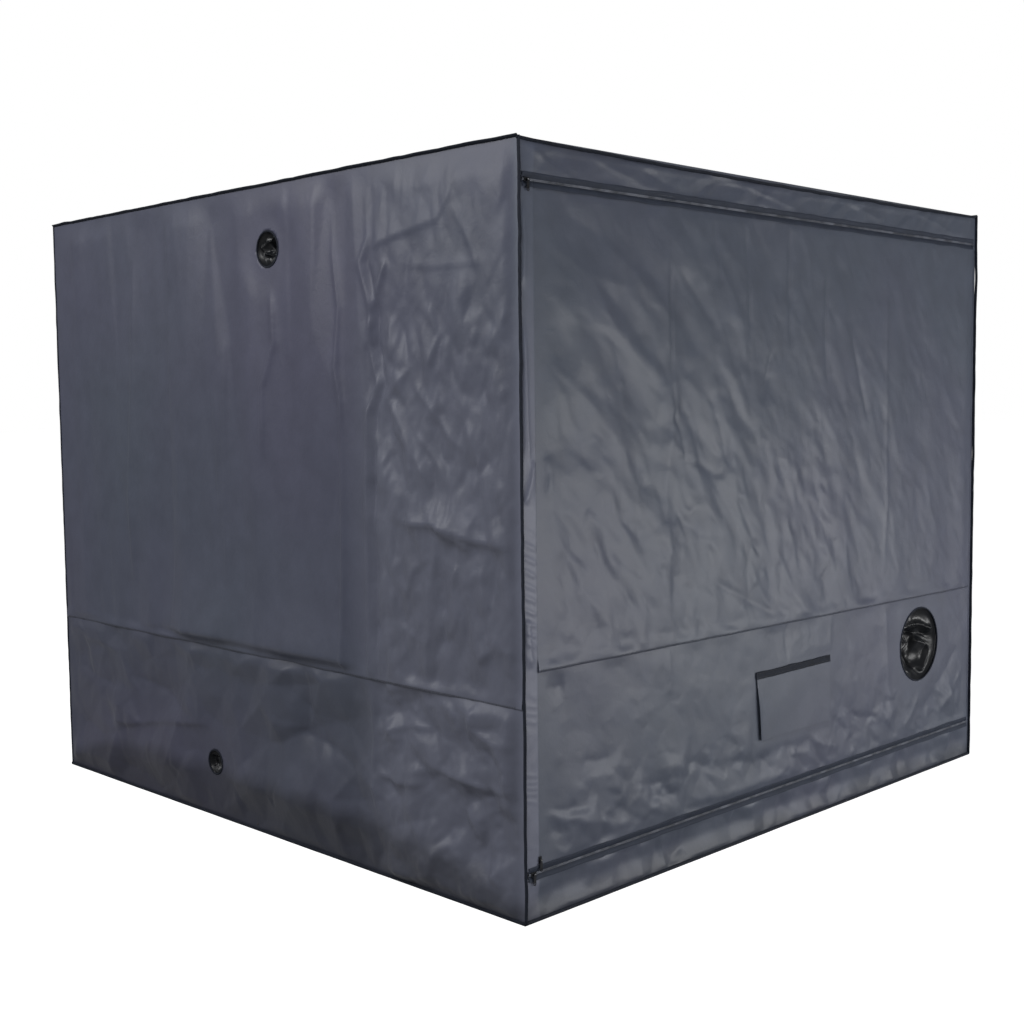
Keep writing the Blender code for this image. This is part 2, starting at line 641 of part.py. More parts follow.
def tab_mesh():
    """A pull tab with an eye round a bar along X, hanging down, with its origin on the bar."""
    bore = BAIL_RADIUS + GAP
    ring = bore + EYE_WALL
    eye = turned(pipe("eye", ring, bore, EYE_WIDTH, SMALL_SIDES),
                 along((1, 0, 0), (-EYE_WIDTH / 2, 0.0, 0.0)))
    half = TAB_WIDTH / 2
    foot = ring - EYE_WALL / 2
    neck = EYE_WIDTH / 2
    shoulder = ring + neck
    turns = [math.pi * k / 6 for k in range(7)]
    round_end = [(half * math.cos(t), half - TAB_LENGTH - half * math.sin(t)) for t in turns]
    outline = [(-half, -shoulder - neck / 2), (-neck, -shoulder), (-neck, -foot), (neck, -foot),
               (neck, -shoulder), (half, -shoulder - neck / 2), *round_end]
    plate = prism("plate", outline, TAB_THICKNESS)
    drill = rod("drill", ((TAB_HOLE, -CUT_OVERRUN), (TAB_HOLE, CUT_OVERRUN)), SMALL_SIDES)
    drill = turned(drill, along((0, 1, 0), (0.0, 0.0, half - TAB_LENGTH)))
    return boolean(boolean(plate, [drill], "DIFFERENCE"), [eye], "UNION")


def add_zips(black, steel):
    """Three closed chains, each with a slider and its pull tab."""
    length = 2 * (ZIP_END - GAP)
    side_low = ZIP_BOTTOM + TAPE_WIDTH / 2 + GAP
    side_high = ZIP_TOP - TAPE_WIDTH / 2 - GAP
    side_middle = (side_low + side_high) / 2
    add("zip_chain_top", chain_mesh("zip_chain_top", length), black, (0.0, TAPE_FRONT, ZIP_TOP))
    add("zip_chain_bottom", chain_mesh("zip_chain_bottom", length), black,
        (0.0, TAPE_FRONT, ZIP_BOTTOM))
    upright = chain_mesh("zip_chain_side", side_high - side_low)
    upright.transform(Matrix.Rotation(math.pi / 2, 4, "Y"))
    add("zip_chain_side", upright, black, (SIDE_ZIP_X, TAPE_FRONT, side_middle))
    rest = SLIDER_LENGTH / 2 + SLIDER_REST
    start = rest - ZIP_END
    places = (("top", (start, TAPE_FRONT, ZIP_TOP), False),
              ("bottom", (start, TAPE_FRONT, ZIP_BOTTOM), False),
              ("side", (SIDE_ZIP_X, TAPE_FRONT, side_low + rest), True))
    for name, place, upright_travel in places:
        mesh = slider_mesh(f"slider_{name}", upright_travel)
        if upright_travel:
            mesh.transform(Matrix.Rotation(math.pi / 2, 4, "Y"))
        slider = add(f"slider_{name}", mesh, black, place)
        pivot = (place[0], place[1] - BAIL_OUT, place[2])
        tab = add(f"pull_tab_{name}", tab_mesh(), steel, pivot)
        carry(slider, tab)


# Door


def vent_net():
    """A flat net with square gaps: strands and border as faces, thickened by Solidify."""
    def lines(span, count):
        pitch = (span + MESH_STRAND) / count
        places = [-span / 2 - MESH_BORDER]
        for k in range(count):
            places += [-span / 2 + pitch * k, -span / 2 + pitch * (k + 1) - MESH_STRAND]
        return places + [span / 2 + MESH_BORDER]
    across = lines(VENT_WIDTH, MESH_COLUMNS)
    up = lines(VENT_HEIGHT, MESH_ROWS)
    work = bmesh.new()
    grid = [[work.verts.new((x, 0.0, z)) for z in up] for x in across]
    for i in range(len(across) - 1):
        for k in range(len(up) - 1):
            if i % 2 == 0 or k % 2 == 0:
                work.faces.new((grid[i][k], grid[i + 1][k], grid[i + 1][k + 1], grid[i][k + 1]))
    mesh = bpy.data.meshes.new("vent_mesh")
    work.to_mesh(mesh)
    work.free()
    return mesh


def flap_mesh():
    """The vent flap, hanging from its outer top edge, flared at its lower left corner."""
    columns, rows = 8, 4
    work = bmesh.new()
    sheets = []
    for inner in (0.0, CLOTH):
        sheet = []
        for i in range(columns + 1):
            line = []
            for k in range(rows + 1):
                across = i / columns
                down = k / rows
                curl = FLAP_FLARE * ((1 - across) * down) ** 2
                x = FLAP_WIDTH * (across - 0.5)
                line.append(work.verts.new((x, inner - curl, -FLAP_DROP * down)))
            sheet.append(line)
        sheets.append(sheet)
    for sheet in sheets:
        for here, there in zip(sheet, sheet[1:]):
            for k in range(rows):
                work.faces.new((here[k], there[k], there[k + 1], here[k + 1]))
    outer, inner = sheets
    edges = (([line[0] for line in outer], [line[0] for line in inner]),
             ([line[-1] for line in outer], [line[-1] for line in inner]),
             (outer[0], inner[0]), (outer[-1], inner[-1]))
    for front, back in edges:
        for k in range(len(front) - 1):
            work.faces.new((front[k], front[k + 1], back[k + 1], back[k]))
    return to_mesh("vent_flap", work, True)


def add_door(cloth, lining, black):
    """The door hangs on its cloth edge at the right, and carries the duct and the vent."""
    vent_top = HEADER_BOTTOM - (FLAP_DROP - VENT_HEIGHT) / 2
    vent_middle = vent_top - VENT_HEIGHT / 2
    duct = (FRONT_DUCT_X - HINGE_X, FRONT_DUCT_Z - DOOR_BOTTOM, DUCT_HOLE)
    calm = ((*duct, DUCT_HOLE), (VENT_X - HINGE_X, HEADER_BOTTOM - FLAP_DROP / 2 - DOOR_BOTTOM,
                                 FLAP_WIDTH / 2, FLAP_DROP / 2 + HEADER_HEIGHT))
    mesh = cloth_mesh("door_panel", -DOOR_WIDTH, 0.0, 0.0, DOOR_HEIGHT, 18, 13, DOOR_FOLD_SHARES,
                      FRONT_SEAM - DOOR_BOTTOM, FRONT_SEAM_DROP, calm)
    left = VENT_X - HINGE_X - FLAP_WIDTH / 2
    right = left + FLAP_WIDTH
    header_low = HEADER_BOTTOM - DOOR_BOTTOM
    header = box("header", (left, -HEADER_RISE, header_low),
                 (right, CLOTH / 2, header_low + HEADER_HEIGHT))
    door = add("door_panel", boolean(mesh, [header], "UNION"), cloth,
               (HINGE_X, -WALL_Y, DOOR_BOTTOM))
    cut(door, "duct_cutter", port_cutter(*duct, DUCT_PLEATS))
    low = vent_middle - DOOR_BOTTOM - VENT_HEIGHT / 2
    middle = VENT_X - HINGE_X
    window = box("vent_cutter", (middle - VENT_WIDTH / 2, -CUT_OVERRUN, low),
                 (middle + VENT_WIDTH / 2, CUT_OVERRUN, low + VENT_HEIGHT))
    cut(door, "vent_cutter", window)
    sleeve = sleeve_mesh("duct_sleeve_front", DUCT_HOLE, DUCT_THROAT, DUCT_DEPTH, DUCT_PLEATS)
    duct_sleeve = add("duct_sleeve_front", sleeve, lining, (FRONT_DUCT_X, -WALL_Y, FRONT_DUCT_Z))
    net = add("vent_mesh", vent_net(), black, (VENT_X, CLOTH + GAP - WALL_Y, vent_middle))
    thicken = net.modifiers.new("Thickness", "SOLIDIFY")
    thicken.thickness = MESH_THICKNESS
    thicken.offset = -1.0
    flap_y = -WALL_Y - HEADER_RISE - GAP - CLOTH
    flap = add("vent_flap", flap_mesh(), cloth, (VENT_X, flap_y, HEADER_BOTTOM))
    carry(door, duct_sleeve, net, flap)


def main():
    clear_scene()
    cloth = make_material("slate cloth", (0.105, 0.115, 0.140), 0.62, 0.0)
    lining = make_material("black sleeve cloth", (0.020, 0.021, 0.024), 0.70, 0.0)
    black = make_material("black zip tape", (0.018, 0.018, 0.020), 0.55, 0.0)
    plastic = make_material("black moulded plastic", (0.022, 0.022, 0.024), 0.45, 0.0)
    paint = make_material("white painted steel", (0.72, 0.72, 0.70), 0.35, 0.0)
    steel = make_material("zip pull alloy", (0.45, 0.46, 0.48), 0.35, 1.0)
    film = make_material("silver film", (0.55, 0.56, 0.58), 0.30, 0.6)
    add_connectors(plastic)
    add_tubes(paint)
    add_hanging_bars(paint)
    add_flat_sheets(cloth, film)
    add_side_walls(cloth)
    add_port_sleeves(lining)
    add_front_surround(cloth)
    add_zips(black, steel)
    add_door(cloth, lining, black)


main()
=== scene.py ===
import math

import bmesh
import bpy
import numpy as np
from mathutils import Matrix, Vector
from mathutils.geometry import delaunay_2d_cdt


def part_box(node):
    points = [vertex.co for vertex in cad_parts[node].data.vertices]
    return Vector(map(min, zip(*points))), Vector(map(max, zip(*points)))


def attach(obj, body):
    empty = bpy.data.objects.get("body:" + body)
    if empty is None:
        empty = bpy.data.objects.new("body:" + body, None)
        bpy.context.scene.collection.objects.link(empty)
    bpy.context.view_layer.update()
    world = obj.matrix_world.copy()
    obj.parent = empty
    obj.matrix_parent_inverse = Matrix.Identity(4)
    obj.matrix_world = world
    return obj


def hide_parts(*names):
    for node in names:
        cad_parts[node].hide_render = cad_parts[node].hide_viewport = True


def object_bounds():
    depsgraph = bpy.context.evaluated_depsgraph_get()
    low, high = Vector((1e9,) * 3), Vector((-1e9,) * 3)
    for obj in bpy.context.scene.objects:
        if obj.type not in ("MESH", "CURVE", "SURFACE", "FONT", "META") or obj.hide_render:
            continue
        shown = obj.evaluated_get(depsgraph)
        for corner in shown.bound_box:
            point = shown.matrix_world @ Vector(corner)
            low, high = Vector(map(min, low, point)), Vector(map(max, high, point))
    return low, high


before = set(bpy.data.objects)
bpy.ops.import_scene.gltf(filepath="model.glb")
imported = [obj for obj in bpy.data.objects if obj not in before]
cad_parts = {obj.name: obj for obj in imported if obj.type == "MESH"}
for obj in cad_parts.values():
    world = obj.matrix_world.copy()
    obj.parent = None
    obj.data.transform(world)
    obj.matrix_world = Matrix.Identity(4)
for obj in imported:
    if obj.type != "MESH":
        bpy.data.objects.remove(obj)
cad_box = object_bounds()


# Studio: a white floor and soft white lights round the tent, as in a catalogue photograph.
# The floor and the empty background look white to the camera; other rays see a softer grey, so
# that the shiny cloth doesn't mirror them.
def shade(code):
    """Linear colour of an sRGB hex code: a channel c becomes ((c + 0.055) / 1.055) ** 2.4."""
    channels = np.array([int(code[i:i + 2], 16) for i in (0, 2, 4)]) / 255
    bright = ((channels + 0.055) / 1.055) ** 2.4
    return (*np.where(channels > 0.04045, bright, channels / 12.92).tolist(), 1.0)


def node(tree, kind, inputs=(), **settings):
    """Adds one shader node. inputs are values by socket, or those of the first sockets in turn.
    A value that is a node is linked from its first output, and a socket is linked itself."""
    made = tree.nodes.new("ShaderNode" + kind)
    for key, value in settings.items():
        setattr(made, key, value)
    for key, value in (inputs if isinstance(inputs, dict) else dict(enumerate(inputs))).items():
        if isinstance(value, bpy.types.Node):
            value = value.outputs[0]
        if isinstance(value, bpy.types.NodeSocket):
            tree.links.new(value, made.inputs[key])
        else:
            made.inputs[key].default_value = value
    return made


def bare_material(name):
    """A material without nodes, and its node tree."""
    material = bpy.data.materials.new(name)
    material.use_nodes = True
    material.node_tree.nodes.clear()
    return material, material.node_tree


def put_mesh(name, points, faces, face_uv, worn, weld=False, rims=()):
    """One smooth object at the origin: points, quads, a UV pair in metres for each quad's
    corner, and pairs of a material and how many quads wear it. weld joins points in one place.
    The quads of rims are shaded flat, so that the edges beside them stay sharp."""
    mesh = bpy.data.meshes.new(name)
    mesh.from_pydata(points.reshape(-1, 3).tolist(), [], faces.tolist())
    layer = mesh.uv_layers.new(name="UVMap")
    layer.data.foreach_set("uv", face_uv.astype(np.float32).ravel())
    for material, _ in worn:
        mesh.materials.append(material)
    kinds = np.repeat(np.arange(len(worn)), [count for _, count in worn])
    mesh.polygons.foreach_set("material_index", kinds.astype(np.int32))
    mesh.polygons.foreach_set("use_smooth", ~np.isin(np.arange(len(faces)), rims))
    if weld:
        work = bmesh.new()
        work.from_mesh(mesh)
        bmesh.ops.remove_doubles(work, verts=work.verts, dist=1e-6)
        work.to_mesh(mesh)
        work.free()
    made = bpy.data.objects.new(name, mesh)
    bpy.context.collection.objects.link(made)
    return made


FLOOR_REACH = 60.0
FLOOR_DROP = 0.001

paper, tree = bare_material("white studio paper")
rays = node(tree, "LightPath")
lit = node(tree, "BsdfDiffuse", {"Color": shade("b4b4b4")})
glow = node(tree, "Emission", {"Color": shade("ffffff"), "Strength": 0.90})
both = node(tree, "AddShader", (lit, glow))
mixed = node(tree, "MixShader", (rays.outputs["Is Camera Ray"], lit, both))
node(tree, "OutputMaterial", {"Surface": mixed})

rim = FLOOR_REACH * np.array([(-1, -1, 0), (1, -1, 0), (1, 1, 0), (-1, 1, 0)])
rim[:, 2] = -FLOOR_DROP
floor = put_mesh("studio_floor", rim, np.array([[0, 1, 2, 3]]), rim[None, :, :2], [(paper, 1)])

world = bpy.data.worlds.new("studio light")
bpy.context.scene.world = world
world.use_nodes = True
tree = world.node_tree
tree.nodes.clear()
rays = node(tree, "LightPath")
seen = node(tree, "Math", (rays.outputs["Is Camera Ray"], rays.outputs["Is Transmission Ray"]),
            operation="MAXIMUM")
strength = node(tree, "MapRange", {"Value": seen, "To Min": 0.23, "To Max": 1.0})
sky = node(tree, "Background", {"Color": shade("ffffff"), "Strength": strength})
node(tree, "OutputWorld", {"Surface": sky})

# Softboxes: place, the point they aim at, width and height in metres, and watts
SOFTBOXES = {
    "front_softbox": ((1.9, -4.7, 0.30), (0.5, -1.2, 0.6), 4.3, 1.0, 152.0),
    "left_softbox": ((-4.2, -2.4, 4.6), (-1.2, 0.0, 1.0), 1.6, 1.6, 120.0),
    "sheen_softbox": ((-5.0, 2.5, 3.6), (-1.2, -0.6, 1.2), 1.6, 1.6, 108.0),
    "roof_softbox": ((0.5, 0.5, 6.0), (0.0, 0.0, 2.0), 4.0, 4.0, 50.0),
}
for name, (place, aim, width, height, watts) in SOFTBOXES.items():
    lamp = bpy.data.lights.new(name, "AREA")
    lamp.shape = "RECTANGLE"
    lamp.size, lamp.size_y, lamp.energy = width, height, watts
    softbox = bpy.data.objects.new(name, lamp)
    bpy.context.collection.objects.link(softbox)
    softbox.location = place
    softbox.rotation_mode = "QUATERNION"
    softbox.rotation_quaternion = (Vector(aim) - Vector(place)).to_track_quat("-Z", "Y")

# The camera stands off the near corner, at chest height, turned a little on its own axis
CAMERA_PLACE = (-3.6989, -3.6665, 1.3518)
CAMERA_TURN = math.radians(44.990)
CAMERA_DIP = math.radians(4.595)
CAMERA_ROLL = math.radians(0.630)
CAMERA_LENS = 49.475
camera = bpy.data.cameras.new("camera")
camera.lens = CAMERA_LENS
camera.sensor_width = 36.0
camera.clip_end = 200.0
viewer = bpy.data.objects.new("camera", camera)
bpy.context.collection.objects.link(viewer)
ahead = Vector((math.cos(CAMERA_DIP) * math.cos(CAMERA_TURN),
                math.cos(CAMERA_DIP) * math.sin(CAMERA_TURN), -math.sin(CAMERA_DIP)))
turn = ahead.to_track_quat("-Z", "Y").to_matrix().to_4x4()
roll = Matrix.Rotation(-CAMERA_ROLL, 4, "Z")
viewer.matrix_world = Matrix.Translation(CAMERA_PLACE) @ turn @ roll
bpy.context.scene.camera = viewer
bpy.context.scene.view_settings.view_transform = "Standard"


# Frame: thin steel tubes, powder-coated white, pushed into moulded black connectors at the
# corners and where the rails meet the middle posts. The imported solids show, with these finishes.

# Powder coat on steel: an even satin skin with a fine orange peel, greyed where it is handled
white_steel, tree = bare_material("powder coated steel")
place = node(tree, "TexCoord").outputs["Object"]
peel = node(tree, "TexNoise", {"Vector": place, "Scale": 420.0, "Detail": 2.0})
grime = node(tree, "TexNoise", {"Vector": place, "Scale": 9.0, "Detail": 5.0})
tint = node(tree, "ValToRGB", {"Fac": grime})
for stop, at, code in zip(tint.color_ramp.elements, (0.25, 0.6), ("b9b9b6", "e2e2df")):
    stop.position, stop.color = at, shade(code)
satin = node(tree, "MapRange", {"Value": grime, "To Min": 0.48, "To Max": 0.3})
skin = node(tree, "BsdfPrincipled", {
    "Base Color": tint, "Roughness": satin,
    "Normal": node(tree, "Bump", {"Height": peel, "Distance": 0.0001, "Strength": 0.5})})
node(tree, "OutputMaterial", {"Surface": skin})


def finish_coat(tree, shades, relief, inputs):
    """The end of a finish: shades are a pattern and the two colours it mixes, relief is a
    pattern, its height in metres and its strength, and inputs are the shader's others."""
    pattern, dark, pale = shades
    tint = node(tree, "Mix", {"Factor": pattern, 6: shade(dark), 7: shade(pale)},
                data_type="RGBA")
    bump = node(tree, "Bump", dict(zip(("Height", "Distance", "Strength"), relief)))
    skin = node(tree, "BsdfPrincipled", {"Base Color": tint.outputs[2], "Normal": bump, **inputs})
    node(tree, "OutputMaterial", {"Surface": skin})


# Glass-filled nylon, injection moulded: nearly black, faintly grained, dull where it was ejected
black_nylon, tree = bare_material("moulded black nylon")
place = node(tree, "TexCoord").outputs["Object"]
grain = node(tree, "TexNoise", {"Vector": place, "Scale": 900.0, "Detail": 3.0})
patch = node(tree, "TexNoise", {"Vector": place, "Scale": 38.0, "Detail": 3.0})
satin = node(tree, "MapRange", {"Value": patch, "To Min": 0.34, "To Max": 0.6})
finish_coat(tree, (patch, "1b1b1d", "2c2c2e"), (grain, 0.00015, 0.6), {"Roughness": satin})


def dress_node(name, material):
    """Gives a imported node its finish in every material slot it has."""
    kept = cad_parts[name]
    for slot in kept.material_slots:
        slot.material = material


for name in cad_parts:
    if name.startswith(("corner_", "tee_")):
        dress_node(name, black_nylon)
    if name.startswith(("rail_", "post_", "hanging_bar_")):
        dress_node(name, white_steel)


# Cover cloth: slate polyester, woven plain and coated, laminated inside with reflective film.
# The weave's real thread is 0.4 mm; it is drawn at 2.6 mm so that it shows, and faintly.
THREAD = 0.0026


def thread_waves(tree, pitch, kind="SINE", ways=2):
    """The sine or cosine of 2 pi / pitch times the UV map's metres, across and along the cloth."""
    split = node(tree, "SeparateXYZ", {"Vector": node(tree, "TexCoord").outputs["UV"]})
    turns = [node(tree, "Math", (socket, 2 * math.pi / pitch), operation="MULTIPLY")
             for socket in split.outputs[:ways]]
    return [node(tree, "Math", (turned,), operation=kind) for turned in turns]


slate_cloth, tree = bare_material("coated slate polyester")
place = node(tree, "TexCoord").outputs["Object"]
weave = node(tree, "Math", thread_waves(tree, THREAD), operation="MULTIPLY")
crinkle = node(tree, "TexNoise", {"Vector": place, "Scale": 34.0, "Detail": 4.0, "Roughness": 0.6,
                                  "Distortion": 0.7})
cast = node(tree, "TexNoise", {"Vector": place, "Scale": 0.8, "Detail": 2.0})
depth = node(tree, "SeparateXYZ", {"Vector": place})
# The door's side has faded a little greener than the others
faded = node(tree, "MapRange", {"Value": depth.outputs[1], "From Min": -1.186, "From Max": -1.166,
                                "To Min": -0.14, "To Max": 0.06})
hue = node(tree, "Math", (cast, faded), operation="ADD")
tint = node(tree, "ValToRGB", {"Fac": hue})
for stop, at, code in zip(tint.color_ramp.elements, (0.30, 0.70), ("444a57", "47485a")):
    stop.position, stop.color = at, shade(code)
dust = node(tree, "TexNoise", {"Vector": place, "Scale": 11.0, "Detail": 8.0, "Roughness": 0.65})
paled = node(tree, "MapRange", {"Value": dust, "From Min": 0.3, "From Max": 0.75, "To Min": 0.90,
                                "To Max": 1.12})
woven = node(tree, "MapRange", {"Value": weave, "From Min": -1.0, "To Min": 0.965,
                                "To Max": 1.035})
# The hem near the floor darkens over the lowest 60 mm, along a ragged edge: soil, and
# painted shade where the cloth turns in under the frame
ragged = node(tree, "TexNoise", {"Vector": place, "Scale": 5.0, "Detail": 4.0})
drift = node(tree, "Math", (ragged, -0.10, depth.outputs[2]), operation="MULTIPLY_ADD")
# On the left wall the darkening reaches up to an arc, 0.13 - 0.055 * y ** 4 metres higher:
# painted shade under the belly, where the cloth turns in under the frame
by_corner = [node(tree, "MapRange", {"Value": depth.outputs[k], "From Min": near, "From Max": far})
             for k, near, far in ((0, -1.132, -1.140), (1, -0.50, -0.66))]
bow = node(tree, "Math", (depth.outputs[1], 4.0), operation="POWER")
bow = node(tree, "Math", (bow, 0.055, -0.13), operation="MULTIPLY_ADD")
drift = node(tree, "Math", (bow, by_corner[0], drift), operation="MULTIPLY_ADD")
soil_and_shade = node(tree, "MapRange", {"Value": drift, "From Min": -0.035, "From Max": 0.01,
                                 "To Min": 0.54, "To Max": 1.0})
woven = node(tree, "Math", (woven, soil_and_shade), operation="MULTIPLY")
# Painted shade: its lower cloth is darkened as far as the crumpled third, as it faces down,
# away from the light above
lower_cloth_shade = [node(tree, "MapRange", {"Value": depth.outputs[k], "From Min": start, "From Max": end})
          for k, start, end in ((1, -0.66, -0.56), (2, 0.575, 0.55))]
lower_cloth_shade = node(tree, "Math", lower_cloth_shade, operation="MULTIPLY")
lower_cloth_shade = node(tree, "Math", (lower_cloth_shade, by_corner[0]), operation="MULTIPLY")
lower_cloth_shade = node(tree, "MapRange", {"Value": lower_cloth_shade, "To Min": 1.0, "To Max": 0.84})
woven = node(tree, "Math", (woven, lower_cloth_shade), operation="MULTIPLY")
# Painted sheen: near the zipped corner, less near the roof, the colour pales, for the
# crumpled folds that catch the light there
corner_sheen = node(tree, "Math", by_corner, operation="MULTIPLY")
within = node(tree, "MapRange", {"Value": depth.outputs[2], "From Min": 1.25, "From Max": 1.75,
                                 "To Min": 1.0, "To Max": 0.1})
corner_sheen = node(tree, "Math", (corner_sheen, within), operation="MULTIPLY")
wear_and_sheen = node(tree, "Mix", {"Factor": corner_sheen, 6: tint, 7: shade("565967")}, data_type="RGBA")
# The strip between the corner and the zip is the palest: painted highlight for its
# puckers, which catch the light
strip_highlight = node(tree, "MapRange", {"Value": depth.outputs[1], "From Min": -1.186, "From Max": -1.166,
                                 "To Min": 0.20, "To Max": 0.0})
paler = node(tree, "Math", (strip_highlight, by_corner[0], 1.0), operation="MULTIPLY_ADD")
woven = node(tree, "Math", (woven, paler), operation="MULTIPLY")
level = node(tree, "Math", (paled, woven), operation="MULTIPLY")
colour = node(tree, "VectorMath", {0: wear_and_sheen.outputs[2], "Scale": level}, operation="SCALE")
satin = node(tree, "MapRange", {"Value": dust, "To Min": 0.42, "To Max": 0.52})
threads = node(tree, "Bump", {"Height": weave, "Distance": 0.00010, "Strength": 0.15})
relief = node(tree, "Bump", {"Height": crinkle, "Distance": 0.006, "Strength": 0.12,
                             "Normal": threads})
skin = node(tree, "BsdfPrincipled", {
    "Base Color": colour, "Roughness": satin, "Sheen Weight": 0.04,
    "Sheen Roughness": 0.4, "Specular IOR Level": 0.36, "Normal": relief})
node(tree, "OutputMaterial", {"Surface": skin})

# Metallised polyester film, embossed in small diamonds so that it scatters the lamps' light
DIAMOND = 0.012

silver_film, tree = bare_material("embossed reflective film")
place = node(tree, "TexCoord").outputs["Object"]
split = node(tree, "SeparateXYZ", {"Vector": node(tree, "TexCoord").outputs["UV"]})
leans = [node(tree, "Math", split.outputs[:2], operation=kind) for kind in ("ADD", "SUBTRACT")]
peaks = [node(tree, "Math", (lean, DIAMOND / 2), operation="PINGPONG") for lean in leans]
facet = node(tree, "Math", peaks, operation="MINIMUM")
height = node(tree, "Math", (facet, DIAMOND / 2), operation="DIVIDE")
haze = node(tree, "TexNoise", {"Vector": place, "Scale": 6.0, "Detail": 5.0})
satin = node(tree, "MapRange", {"Value": haze, "To Min": 0.24, "To Max": 0.42})
finish_coat(tree, (haze, "c3c6ca", "dcdee0"), (height, 0.0012, 0.6),
            {"Metallic": 0.85, "Roughness": satin})

SEAM_FIN = 0.010
CLOTH = 0.0015
WALL = cad_box[1].x - SEAM_FIN
ROOF = cad_box[1].z - CLOTH
UP = np.array((0.0, 0.0, 1.0))
# Each side's way to the right, seen from outside, and its way out
SIDES = {"front": ((1, 0, 0), (0, -1, 0)), "left": ((0, -1, 0), (-1, 0, 0)),
         "right": ((0, 1, 0), (1, 0, 0)), "back": ((-1, 0, 0), (0, 1, 0))}


def ease(x):
    """Smooth step: 0 below 0, 1 above 1, x * x * (3 - 2x) between."""
    x = np.clip(x, 0.0, 1.0)
    return x * x * (3 - 2 * x)


def ripple(a, b, seed, count=20):
    """Smooth noise of unit wavelength: the scaled sum of count cosines cos(k . (a, b) + phase),
    with seeded ways, wave numbers and phases."""
    draw = np.random.default_rng(seed)
    ways, numbers, phases = draw.uniform(size=(3, count, 1))
    number = 2 * math.pi * (0.55 + 0.9 * numbers)
    way = 2 * math.pi * ways
    flat = np.stack([a.ravel(), b.ravel()])
    wave = np.hstack([number * np.cos(way), number * np.sin(way)]) @ flat
    total = np.cos(wave + 2 * math.pi * phases).sum(0) * math.sqrt(2 / count)
    return total.reshape(a.shape)


def waver(run, size, seed):
    """Smooth noise along a line, in waves about size long."""
    return ripple(run / size, 0 * run, seed)


def leaned(a, b, size, stretch, lean):
    """Places on axes turned by lean, in units of size across and size * stretch along."""
    across = (a * math.cos(lean) + b * math.sin(lean)) / size
    return across, (b * math.cos(lean) - a * math.sin(lean)) / (size * stretch)


def crushed(a, b, size, stretch, lean, seed):
    """Crumpled flats with sharp folds between them: seeded points, about one in each unit of the
    leaned axes, are joined into Delaunay triangles, and each point has a random height from -1
    to 1. Inside a triangle the height is h1 + p * (h2 - h1) + q * (h3 - h1)."""
    across, along = leaned(a, b, size, stretch, lean)
    draw = np.random.default_rng(seed).uniform(-1.0, 1.0, size=(3, 97, 97))
    spans = [np.arange(math.floor(x.min()) - 2, math.ceil(x.max()) + 3) for x in (across, along)]
    i, j = (index.ravel() for index in np.meshgrid(*spans, indexing="ij"))
    jog_i, jog_j, height = draw[:, i % 97, j % 97]
    spots = np.stack([i + 0.42 * jog_i, j + 0.42 * jog_j], -1)
    joined = delaunay_2d_cdt([Vector(spot) for spot in spots], [], [], 0, 1e-6)
    spots = np.array([tuple(spot) for spot in joined[0]])
    height = height[[source[0] for source in joined[3]]]
    total = np.zeros_like(a)
    for face in joined[2]:
        start, base, side = spots[face[0]], *(spots[face[1:]] - spots[face[0]])
        (low_i, low_j), (high_i, high_j) = spots[face].min(0), spots[face].max(0)
        near = ((across >= low_i) & (across <= high_i) & (along >= low_j) & (along <= high_j))
        near = near.nonzero()
        off_i, off_j = across[near] - start[0], along[near] - start[1]
        area = base[0] * side[1] - base[1] * side[0]
        p = (off_i * side[1] - off_j * side[0]) / area
        q = (base[0] * off_j - base[1] * off_i) / area
        inside = (p >= 0) & (q >= 0) & (p + q <= 1)
        one, two, three = height[face]
        risen = one + p * (two - one) + q * (three - one)
        total[tuple(axis[inside] for axis in near)] = risen[inside]
    return total


def swell(a, b, size, stretch, lean, seed):
    """Soft folds: the ripple itself on leaned and stretched axes."""
    return ripple(*leaned(a, b, size, stretch, lean), seed)


def crimped(a, b, size, stretch, lean, seed):
    """Curved sharp creases between rounded swells: the absolute value of the soft folds."""
    return np.abs(swell(a, b, size, stretch, lean, seed)) - 0.8


def patch(a, b, middle_a, middle_b, half_a, half_b):
    """A soft-edged oval region: exp(-(da / half_a) ** 4 - (db / half_b) ** 4)."""
    return np.exp(-((a - middle_a) / half_a) ** 4 - ((b - middle_b) / half_b) ** 4)


CREST_ROUND = 0.0025


def creases(a, b, table):
    """Sum of drawn folds, a row each, in millimetres: rise, reach to the left and to the right of
    the fold's line, and the a and b of the line's points. The fold lifts by
    rise * exp(-distance / reach), a little rounded at its crest, and fades towards both ends."""
    total = np.zeros_like(a)
    for row in table:
        rise, left_reach, right_reach, *line = np.array(row) / 1000
        line = np.reshape(line, (-1, 2))
        spans = np.hypot(*np.diff(line, axis=0).T)
        starts = np.concatenate([[0.0], np.cumsum(spans)])
        nearest = np.full(a.shape, 9.0)
        run, side = np.zeros_like(a), np.zeros_like(a)
        for (start_a, start_b), (step_a, step_b), span, start in zip(
                line, np.diff(line, axis=0), spans, starts):
            off_a, off_b = a - start_a, b - start_b
            share = np.clip((off_a * step_a + off_b * step_b) / span ** 2, 0.0, 1.0)
            gap = np.hypot(off_a - share * step_a, off_b - share * step_b)
            closer = gap < nearest
            run = np.where(closer, (start + share * span) / starts[-1], run)
            side = np.where(closer, step_a * off_b - step_b * off_a, side)
            nearest = np.where(closer, gap, nearest)
        reach = np.where(side > 0, left_reach, right_reach)
        soft = np.sqrt(nearest ** 2 + CREST_ROUND ** 2) - CREST_ROUND
        total += rise * np.exp(-soft / reach) * ease(5 * run) * ease(5 * (1 - run))
    return total


def on_wall(side, a, b, lift):
    """Points a metres right of a wall's middle, b metres up, and lift metres out of its face."""
    right, out = np.array(SIDES[side], float)
    return a[..., None] * right + b[..., None] * UP + (WALL + lift)[..., None] * out


